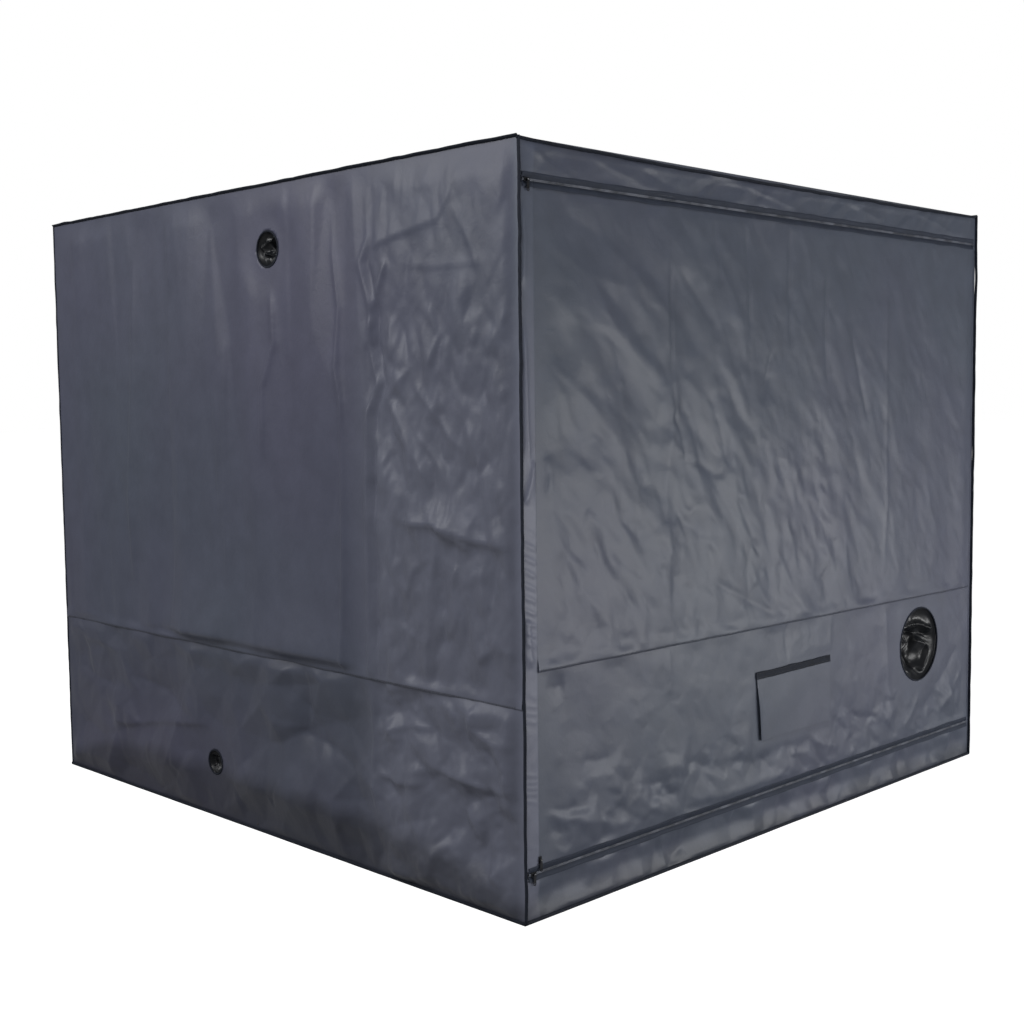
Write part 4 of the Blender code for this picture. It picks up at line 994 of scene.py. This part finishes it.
# Edge binding: a woven black tape folded over the raw edges and sewn through, along all twelve
# edges of the cover. It stands out as a small fin that wavers with the cloth.
BINDING_HALF = 0.0050
BINDING_THICK = 0.0021
BINDING_RIB = 0.003

black_tape, tree = bare_material("woven black binding tape")
rib = thread_waves(tree, BINDING_RIB, ways=1)[0]
fluff = node(tree, "TexNoise", {"Vector": node(tree, "TexCoord").outputs["Object"], "Scale": 60.0,
                                "Detail": 5.0})
finish_coat(tree, (fluff, "11141b", "212632"), (rib, 0.0003, 0.5),
            {"Roughness": 0.72, "Specular IOR Level": 0.18})


def swept(name, path, across, thick, outline, material, body):
    """A closed rod: an outline (n, 2) carried along a path, its first axis along across and its
    second along thick, with the ends drawn together to a point and welded."""
    path, outline = np.asarray(path, float), np.asarray(outline, float)
    scale = np.ones(len(path) + 2)
    scale[0] = scale[-1] = 0.0
    path = np.concatenate([path[:1], path, path[-1:]])
    across = np.broadcast_to(across, (len(path) - 2, 3))
    thick = np.broadcast_to(thick, (len(path) - 2, 3))
    across = np.concatenate([across[:1], across, across[-1:]])
    thick = np.concatenate([thick[:1], thick, thick[-1:]])
    size = scale[:, None, None]
    points = (path[:, None] + size * outline[None, :, :1] * across[:, None]
              + size * outline[None, :, 1:] * thick[:, None])
    run = np.concatenate([[0.0], np.cumsum(np.linalg.norm(np.diff(path, axis=0), axis=1))])
    girth = np.concatenate([[0.0], np.cumsum(np.hypot(*np.diff(
        np.concatenate([outline, outline[:1]]), axis=0).T))])
    uv = np.stack(np.meshgrid(run, girth, indexing="ij"), -1)
    count_i, count_j = points.shape[:2]
    corners = grid_corners(count_i, count_j, round_j=True)
    faces = corners[..., 0] * count_j + corners[..., 1] % count_j
    face_uv = uv[corners[..., 0], corners[..., 1]]
    made = put_mesh(name, points, faces, face_uv, [(material, len(faces))], weld=True)
    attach(made, body)


turns = np.linspace(0, 2 * math.pi, 12, endpoint=False)
# The fin's outline, a rounded oblong (half * cos t ** 0.6, thick * sin t ** 0.8)
fin = np.stack([BINDING_HALF * np.sign(np.cos(turns)) * np.abs(np.cos(turns)) ** 0.6,
                BINDING_THICK * np.sign(np.sin(turns)) * np.abs(np.sin(turns)) ** 0.8], -1)
# Where the bindings lie: out from the walls' middles, at their faces, at the roof and the floor
EDGE = WALL + 0.0036
FACE = WALL - 0.0004
TOP_EDGE = WALL + 0.0030
HIGH = ROOF + 0.0005
LOW = 0.0045
SLANT = math.sqrt(0.5)
# Bindings: start, end, the fin's way and its thin way, from the signs of each edge's x and y
BINDINGS = {}
for name, x, y in (("near", -1, -1), ("far_front", 1, -1), ("far_left", -1, 1),
                   ("back_right", 1, 1)):
    post = x * FACE, y * EDGE
    BINDINGS[name] = ((*post, LOW), (*post, HIGH), (0, y, 0), (1, 0, 0))
SQUARE = {"front": (0, -1), "back": (0, 1), "left": (-1, 0), "right": (1, 0)}
for name, (x, y) in SQUARE.items():
    start, end = np.array((x or -1, y or -1)) * TOP_EDGE, np.array((x or 1, y or 1)) * TOP_EDGE
    BINDINGS["top_" + name] = ((*start, HIGH), (*end, HIGH), (x * SLANT, y * SLANT, SLANT),
                               (abs(x) * SLANT, abs(y) * SLANT, -(x + y) * SLANT))
for name, (x, y) in SQUARE.items():
    start, end = np.array((x or -1, y or -1)) * EDGE, np.array((x or 1, y or 1)) * EDGE
    BINDINGS["low_" + name] = ((*start, LOW), (*end, LOW), (0, 0, 1), (abs(x), abs(y), 0))
for count, (name, (start, end, across, thick)) in enumerate(BINDINGS.items()):
    share = np.linspace(0.0, 1.0, 201)[:, None]
    path = np.array(start) * (1 - share) + np.array(end) * share
    run = share * np.linalg.norm(np.array(end) - np.array(start))
    hold = ease(run / 0.1) * ease((run[-1] - run) / 0.1)
    sway = hold * (0.0012 * waver(run, 0.33, 131 + count)
                   + 0.0005 * waver(run, 0.09, 151 + count))
    if "low" not in name:
        path = path + np.abs(sway) * np.array(across)
    if name == "top_front":
        path[:, 2] -= 0.003 + front_drop(path[:, 0])
    path = path + sway[::-1] * np.array(thick) * 0.2
    swept("binding_" + name, path, across, thick, fin, black_tape, "tent")


# Zips: a coil chain on two dark woven tapes sewn over the cloth's edges. When the door opens its
# own tape and half of the coil go with it, and the other half stays on the surround.
TAPE_REACH = 0.0185
TAPE_THICK = 0.0007
COIL = 0.0032
COIL_PITCH = 0.0046
TAPE_RIB = 0.0024

zip_tape, tree = bare_material("woven zip tape")
place = node(tree, "TexCoord").outputs["Object"]
rib = thread_waves(tree, TAPE_RIB, ways=1)[0]
lint = node(tree, "TexNoise", {"Vector": place, "Scale": 24.0, "Detail": 7.0})
finish_coat(tree, (lint, "232833", "323846"), (rib, 0.0002, 0.5),
            {"Roughness": 0.68, "Specular IOR Level": 0.22})

# The coil is nylon, smooth and rather shiny; its colour is paler in broken patches, a
# painted highlight, so that it shows as a broken light line
coil_nylon, tree = bare_material("nylon zip coil")
place = node(tree, "TexCoord").outputs["Object"]
# This noise's pale patches are painted highlight along the coil
worn = node(tree, "TexNoise", {"Vector": place, "Scale": 16.0, "Detail": 4.0})
tint = node(tree, "ValToRGB", {"Fac": worn})
for stop, at, code in zip(tint.color_ramp.elements, (0.42, 0.62), ("30343e", "5d616c")):
    stop.position, stop.color = at, shade(code)
skin = node(tree, "BsdfPrincipled", {
    "Base Color": tint, "Roughness": 0.46,
    "Normal": node(tree, "Bump", {"Height": worn, "Distance": 0.0002, "Strength": 0.3})})
node(tree, "OutputMaterial", {"Surface": skin})


def zip_half(name, start, end, way, body, packed, hidden=False):
    """Half a zip: its tape and half of its coil. It runs from start to end in the front wall's
    (a, b); way is +1 if the tape lies to the left of that run. The tape starts under the coil,
    steps up over the cloth's edge and ends flat on it; the coil is a half round with ribs. A
    hidden zip lies behind the two cloths, whose edges nearly meet over it."""
    start, end = np.array(start), np.array(end)
    length = np.hypot(*(end - start))
    along = (end - start) / length
    aside = way * np.array((-along[1], along[0]))
    run = np.linspace(0.0, length, round(length / 0.012) + 1)
    offs = np.array((0.0008, 0.0040, 0.0080, 0.0105, 0.0150, TAPE_REACH))
    lifts = np.array((-0.0012, -0.0012, -0.0010, 0.0012, 0.0018, 0.0014))
    if hidden:
        lifts = np.full(6, -0.0026)
    stray = 0.0009 * waver(run, 0.14, 171)[:, None] * ease((offs - 0.009) / 0.006)
    spot = start + run[:, None, None] * along + offs[None, :, None] * aside
    lift = lifts[None] + np.abs(stray) * (not hidden)
    a, b = spot[..., 0], spot[..., 1] + 0.0006 * waver(run, 0.2, 173)[:, None]
    outer, inner = on_wall("front", a, b, lift), on_wall("front", a, b, lift - TAPE_THICK)
    if way < 0:
        outer, inner = outer[::-1], inner[::-1]
    uv = np.stack(np.broadcast_arrays(run[:, None], offs[None]), -1)
    tape = sheet_of(f"{name}_tape", outer, inner, uv, zip_tape, zip_tape)
    ribs = round(length / COIL_PITCH)
    run = np.linspace(0.0, length, 3 * ribs + 1)
    bulge = 1.0 + 0.16 * np.cos(2 * math.pi * run * ribs / length)
    seat = -0.0046 if hidden else -0.0010
    path = on_wall("front", *(start + run[:, None] * along).T, 0 * run + seat)
    turns = np.linspace(0, math.pi, 6)
    outline = np.stack([COIL * np.sin(turns) ** 0.7 + 0.0001, 0.0013 - 0.0013 * np.cos(turns)], -1)
    right, out = np.array(SIDES["front"], float)
    across = (aside[0] * right + aside[1] * UP) * bulge[:, None]
    swept(f"{name}_coil", path, across, out * bulge[:, None], outline[::way], coil_nylon, body)
    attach(tape, body)
    if packed:
        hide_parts(packed)


ZIP_REACH = ZIP_END - 0.0003
CORNER_GAP = 0.0006
DOOR_ZIP_END = ZIP_END - 0.004
side_low, side_high = (ZIP_SIDE, ZIP_LOW + 0.0145), (ZIP_SIDE, ZIP_TOP - 0.0145)
for edge, outer_half, height, way, packed in (("top", "upper", ZIP_TOP, 1, "zip_chain_top"),
                                              ("low", "under", ZIP_LOW, -1, "zip_chain_bottom")):
    start, corner = (-ZIP_REACH, height), (ZIP_SIDE - CORNER_GAP, height)
    zip_half(f"zip_{edge}_{outer_half}", start, (ZIP_REACH, height), way, "tent", packed)
    zip_half(f"zip_{edge}_corner", start, corner, -way, "tent", None)
    zip_half(f"zip_{edge}_door", (ZIP_SIDE + CORNER_GAP, height), (DOOR_ZIP_END, height), -way,
             "door", None)
zip_half("zip_side_strip", side_low, side_high, 1, "tent", "zip_chain_side", hidden=True)
zip_half("zip_side_door", side_low, side_high, -1, "door", None, hidden=True)


# Vent: a cloth flap hangs from a black webbing strip over a net window in the door. Nothing
# fastens it below, so its slanting left edge stands off a little and throws a thin shadow.
FLAP_HIGH = 0.4885
FLAP_LOW = 0.296
FLAP_LEFT = -0.175
FLAP_SLANT = 0.018
FLAP_RIGHT = 0.230
FLAP_STAND = 0.0044
HEADER_HEIGHT = 0.0215
WEBBING_THICK = 0.0016
# A real net has a thread each 1.2 mm; it is drawn each 2.4 mm so that it shows
NET_PITCH = 0.0024
NET_THICK = 0.0003
NET_LAP = 0.008

insect_net, tree = bare_material("woven insect net")
thread = node(tree, "Math", thread_waves(tree, NET_PITCH, "COSINE"), operation="MAXIMUM")
solid = node(tree, "Math", (thread, 0.45), operation="GREATER_THAN")
fuzz = node(tree, "TexNoise", {"Vector": node(tree, "TexCoord").outputs["Object"], "Scale": 80.0})
finish_coat(tree, (fuzz, "15161a", "2d2e33"), (thread, 0.0003, 0.6),
            {"Roughness": 0.5, "Alpha": solid})

across, b = panel(np.linspace(0.0, 1.0, 101), FLAP_LOW, FLAP_HIGH, 60)
left = FLAP_LEFT + FLAP_SLANT * (FLAP_HIGH - b) / (FLAP_HIGH - FLAP_LOW)
a = left + (FLAP_RIGHT - left) * across
free = ease((FLAP_HIGH - b) / 0.10)
lift = FLAP_STAND + free * (0.0042 * np.exp(-(a - left) / 0.014)
                            + 0.0008 * swell(a, b, 0.13, 2.0, 0.2, 181))
flap = wall_sheet("vent_flap_cloth", "front", a, b, lift, back=slate_cloth)
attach(flap, "flap")
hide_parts("vent_flap")


def header_lift(b):
    """The webbing lies over the flap's edge below, and 1 mm nearer the door above it."""
    return 0.0048 - 0.0010 * ease((b - FLAP_HIGH) / 0.02)


a, b = panel(np.linspace(FLAP_LEFT - 0.003, FLAP_RIGHT + 0.003, 83), FLAP_HIGH,
             FLAP_HIGH + HEADER_HEIGHT, 6)
wave = 0.0006 * waver(a, 0.09, 183)
points = on_wall("front", a, b + wave, header_lift(b))
inner = points - WEBBING_THICK * np.array(SIDES["front"][1])
header = sheet_of("vent_header", points, inner, np.stack([a, b], -1), black_tape, black_tape)
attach(header, "door")

a, b = panel(np.linspace(VENT[0] - VENT[2] - NET_LAP, VENT[0] + VENT[2] + NET_LAP, 48),
             VENT[1] - VENT[3] - NET_LAP, VENT[1] + VENT[3] + NET_LAP, 20)
bow = 0.0006 * swell(a, b, 0.12, 1.0, 0.0, 185)
points = on_wall("front", a, b, -0.0022 + bow)
inner = points - NET_THICK * np.array(SIDES["front"][1])
net = sheet_of("vent_net", points, inner, np.stack([a, b], -1), insect_net, insect_net)
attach(net, "door")
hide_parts("vent_mesh")


# Ports: each hole is bound with narrow black tape. A sleeve of glossy black nylon sewn into it
# is pushed a little inwards and drawn shut by its cord, so that the cloth lies in loose folds.
glossy_nylon, tree = bare_material("coated black nylon")
place = node(tree, "TexCoord").outputs["Object"]
dust = node(tree, "TexNoise", {"Vector": place, "Scale": 26.0, "Detail": 6.0})
satin = node(tree, "MapRange", {"Value": dust, "To Min": 0.32, "To Max": 0.46})
fine = node(tree, "TexNoise", {"Vector": place, "Scale": 210.0, "Detail": 3.0, "Distortion": 0.8})
finish_coat(tree, (dust, "05070b", "0f1218"), (fine, 0.0006, 0.25),
            {"Roughness": satin, "Specular IOR Level": 0.38})


SLEEVE_THICK = 0.0006


def hoop(name, side, middle_a, middle_b, radius, body):
    """A bound edge: a flattened round outline (w cos u, h sin u) carried round the hole,
    w = 2.8 mm across the cloth and h = 1.6 mm out of it."""
    turn, u = np.meshgrid(np.linspace(0, 2 * math.pi, 96, endpoint=False),
                          np.linspace(0, 2 * math.pi, 10, endpoint=False), indexing="ij")
    reach = radius + 0.0014 + 0.0028 * np.cos(u)
    points = on_wall(side, middle_a + reach * np.cos(turn), middle_b + reach * np.sin(turn),
                     0.0010 + 0.0016 * np.sin(u))
    corners = grid_corners(*turn.shape, True, True)
    count = np.array(turn.shape)
    faces = corners[..., 0] % count[0] * count[1] + corners[..., 1] % count[1]
    face_uv = corners * (2 * math.pi / count) * (radius, 0.003)
    made = put_mesh(name, points, faces, face_uv, [(black_tape, len(faces))])
    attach(made, body)


def sleeve(name, side, port, body, packed, deep, pleats, folds, seed):
    """A pouch over a hole, on rings of share s from its rim to its middle: it sinks by
    deep * (1 - s * s) ** 0.7, with radial pleats that deepen inwards, small crumples, and drawn
    folds whose reaches and points are in thousandths of the hole's radius."""
    middle_a, middle_b, radius = port
    turn, s = np.meshgrid(np.linspace(0, 2 * math.pi, 144, endpoint=False),
                          np.linspace(1.0, 0.0, 49), indexing="ij")
    x, y = s * np.cos(turn), s * np.sin(turn)
    hold = ease((1 - s) / 0.18)
    sway = turn + 0.5 * ripple(x, y, seed)
    sink = deep * (1 - s * s) ** 0.7
    gather = 0.05 * deep * np.cos(pleats * sway) * ease(s / 0.25) * hold
    small = 0.02 * deep * crushed(x, y, 0.30, 1.4, 0.5, seed + 2)
    lift = -0.0010 - sink + hold * (gather + small * ease(s / 0.1) + creases(x, y, folds))
    lift = np.where(s < 0.01, lift[:, -1:].mean(), lift)
    outer = on_wall(side, middle_a + radius * x, middle_b + radius * y, lift)
    inner = on_wall(side, middle_a + radius * x, middle_b + radius * y, lift - SLEEVE_THICK)
    around = np.linspace(0, 2 * math.pi * radius, 145)
    uv = np.stack(np.broadcast_arrays(around[:, None], 1.6 * radius * (1 - s[:1])), -1)
    made = sheet_of(name, outer, inner, uv, glossy_nylon, glossy_nylon, round_i=True, weld=True)
    hoop(name + "_binding", side, middle_a, middle_b, radius, body)
    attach(made, body)
    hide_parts(packed)


sleeve("front_duct_sleeve", "front", DUCT_PORT, "door", "duct_sleeve_front", 0.050, 7, (
    (26, 100, 100, -950, 520, -300, 540, 200, 520, 600, 380, 970, 300),
    (-18, 70, 70, -900, 360, 50, 280, 800, 160),
    (30, 280, 280, 100, 50, 350, 0, 620, -120),
    (-20, 120, 120, -300, -100, -50, -420, 50, -750),
    (22, 100, 100, 800, -100, 620, -400, 200, -860),
    (14, 140, 140, -800, -400, -550, -700, -300, -850)), 191)
sleeve("back_duct_sleeve", "back", BACK_PORT, "tent", "duct_sleeve_back", 0.070, 9, (
    (20, 120, 120, -900, -200, -200, 100, 600, 600),
    (-15, 100, 100, -200, -800, 200, -300, 850, 0)), 201)
sleeve("upper_cable_sleeve", "left", UPPER_PORT, "tent", "cable_sleeve_upper", 0.030, 5, (
    (14, 130, 130, 850, 660, 300, 620, -330, 400, -690, 90, -520, -220, -20, -340, 500, -250),
    (-12, 200, 200, -200, 150, 50, 300, 350, 100),
    (8, 200, 200, 550, 300, 750, 0, 600, -400)), 211)
sleeve("lower_cable_sleeve", "left", LOWER_PORT, "tent", "cable_sleeve_lower", 0.022, 4, (
    (13, 400, 400, 50, 450, 120, 200, 100, -100),
    (-8, 200, 200, -700, 500, -780, 0, -600, -600),
    (-6, 200, 200, 100, -700, 450, -550, 600, -400)), 221)


# Floor tray: a loose waterproof sheet whose edges turn up inside the frame and are welded at
# the corners. It lies a little wrinkled, and its walls lean and wave.
tray_low, tray_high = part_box("floor_tray")
TRAY_HALF = tray_high.x - 0.0022
TRAY_BASE = tray_low.z
TRAY_WALL = tray_high.z - tray_low.z
TRAY_THICK = 0.0012

tray_skin, tree = bare_material("metallised waterproof film")
place = node(tree, "TexCoord").outputs["Object"]
haze = node(tree, "TexNoise", {"Vector": place, "Scale": 5.0, "Detail": 6.0})
crinkle = node(tree, "TexNoise", {"Vector": place, "Scale": 40.0, "Detail": 4.0,
                                  "Distortion": 1.0})
satin = node(tree, "MapRange", {"Value": haze, "To Min": 0.28, "To Max": 0.46})
finish_coat(tree, (haze, "9b9ea3", "bcbfc3"), (crinkle, 0.003, 0.4),
            {"Metallic": 0.7, "Roughness": satin})

# Loops round the tray, from its middle out to the walls' foot and up them; the loop at angle t
# has the radius h / (|cos t| ** 26 + |sin t| ** 26) ** (1 / 26), a square with small corners
edge = np.linspace(-1, 1, 91)[:-1]
square = np.concatenate([np.stack([0 * edge + 1, edge], -1), np.stack([-edge, 0 * edge + 1], -1),
                         np.stack([0 * edge - 1, -edge], -1), np.stack([edge, 0 * edge - 1], -1)])
square = square / ((np.abs(square) ** 26).sum(1) ** (1 / 26))[:, None]
sizes = np.concatenate([np.linspace(0.0, 0.985, 46), np.full(14, 1.0)])
rises = np.concatenate([np.zeros(45), [0.0], np.linspace(0.004, TRAY_WALL - TRAY_THICK, 14)])
x = TRAY_HALF * square[:, None, 0] * sizes[None]
y = TRAY_HALF * square[:, None, 1] * sizes[None]
rise = rises[None] + 0 * x
flat_part = ease((0.97 - sizes[None]) / 0.04)
wrinkle = (0.0012 + 0.0012 * crushed(x, y, 0.13, 1.3, 0.4, 231)
           + 0.0006 * swell(x, y, 0.2, 2.0, 1.1, 233))
lean = 1 - 0.006 * ease(rise / 0.05) * (1.2 + ripple(x / 0.35, y / 0.35, 235))
x, y = x * lean, y * lean
z = TRAY_BASE + 0.0014 + rise + flat_part * np.maximum(wrinkle, 0.0)
outer = np.stack([x, y, z], -1)
foot = (rise > 0)[..., None]
side_wall = np.abs(x) >= np.abs(y)
aside = np.stack([-np.sign(x) * side_wall, -np.sign(y) * ~side_wall, 0 * x], -1)
inner = outer - TRAY_THICK * np.where(foot, -aside, UP)
run = np.concatenate([[0.0], np.cumsum(np.hypot(np.diff(sizes) * TRAY_HALF, np.diff(rises)))])
around = np.linspace(0, 8 * TRAY_HALF, len(square) + 1)
uv = np.stack(np.broadcast_arrays(around[:, None], run[None]), -1)
tray = sheet_of("floor_tray_film", outer[:, ::-1], inner[:, ::-1], uv[:, ::-1], tray_skin,
                tray_skin, round_i=True, weld=True)
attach(tray, "tent")
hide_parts("floor_tray")


# Sliders and pull tabs: die-cast zinc with a black finish, rubbed bare on the edges that hands
# and chains touch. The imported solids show.
black_zinc, tree = bare_material("blackened die-cast zinc")
place = node(tree, "TexCoord").outputs["Object"]
edge_wear = node(tree, "NewGeometry").outputs["Pointiness"]
wear_and_sheen = node(tree, "MapRange", {"Value": edge_wear, "From Min": 0.54, "From Max": 0.70})
scratch = node(tree, "TexNoise", {"Vector": place, "Scale": 300.0, "Detail": 4.0})
patchy = node(tree, "Math", (wear_and_sheen, scratch), operation="MULTIPLY")
satin = node(tree, "MapRange", {"Value": scratch, "To Min": 0.26, "To Max": 0.44})
finish_coat(tree, (patchy, "191a1d", "6a6b6e"), (scratch, 0.0001, 0.4),
            {"Metallic": 0.8, "Roughness": satin})
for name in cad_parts:
    if name.startswith(("slider_", "pull_tab_")):
        dress_node(name, black_zinc)


# Stitching: rows of polyester thread along the left wall's and the door's seams and the vent's
# webbing. A real stitch is 4 mm long and 0.5 mm thick; each is drawn 7 mm long and 1.2 mm thick
# so that it shows.
STITCH = 0.0070
STITCH_STEP = 0.0080
STITCH_THICK = 0.0006

thread_fibre, tree = bare_material("twisted polyester thread")
place = node(tree, "TexCoord").outputs["Object"]
fluff = node(tree, "TexNoise", {"Vector": place, "Scale": 500.0, "Detail": 2.0})
finish_coat(tree, (fluff, "16181d", "282b32"), (fluff, 0.0002, 0.5), {"Roughness": 0.55})


def stitches(name, side, a, b, lift, body):
    """One small spindle for each place (a, b, lift) along a row: four rings of four points,
    thin at both ends, laid along the row's own way."""
    middles = on_wall(side, a, b, lift)
    ways = np.gradient(middles, axis=0)
    ways /= np.linalg.norm(ways, axis=1, keepdims=True)
    out = np.array(SIDES[side][1], float)
    aside = np.cross(ways, out)
    steps = STITCH / 2 * np.array((-1.0, -0.62, 0.62, 1.0))
    girths = STITCH_THICK * np.array((0.25, 1.0, 1.0, 0.25))
    ring = np.array(((1, 0), (0, 1), (-1, 0), (0, -1)), float)
    points = (middles[:, None, None] + steps[None, :, None, None] * ways[:, None, None]
              + girths[None, :, None, None] * (ring[None, None, :, :1] * aside[:, None, None]
                                               + ring[None, None, :, 1:] * out))
    i, j = np.meshgrid(np.arange(3), np.arange(4), indexing="ij")
    sides = np.stack([4 * i + j, 4 * i + 4 + j, 4 * i + 4 + (j + 1) % 4, 4 * i + (j + 1) % 4], -1)
    one = np.concatenate([sides.reshape(-1, 4), [[0, 1, 2, 3], [15, 14, 13, 12]]])
    faces = (one[None] + 16 * np.arange(len(middles))[:, None, None]).reshape(-1, 4)
    face_uv = np.zeros((len(faces), 4, 2)) + ((0, 0), (STITCH, 0), (STITCH, 0.001), (0, 0.001))
    made = put_mesh(name, points, faces, face_uv, [(thread_fibre, len(faces))])
    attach(made, body)


for count, drop in enumerate((0.0022, -0.0006)):
    a = np.arange(-WALL + 0.02, WALL - 0.02, STITCH_STEP)
    b = SIDE_SEAM - drop + 0 * a
    lift = left_upper_lift(a, b) + hemmed(b, SIDE_SEAM - LAP / 2)
    stitches(f"left_seam_stitches_{count}", "left", a, b, lift + 0.0002, "tent")
    a = np.arange(DOOR_LEFT + 0.01, DOOR_RIGHT - 0.01, STITCH_STEP)
    b = door_seam(a) - drop
    lift = door_upper_lift(a, b) + door_lap(a, b)
    stitches(f"door_seam_stitches_{count}", "front", a, b, lift + 0.0002, "door")
    a = np.arange(FLAP_LEFT, FLAP_RIGHT, STITCH_STEP)
    b = FLAP_HIGH + (0.0050, 0.0180)[count] + 0 * a
    stitches(f"header_stitches_{count}", "front", a, b, header_lift(b) + 0.0002, "door")
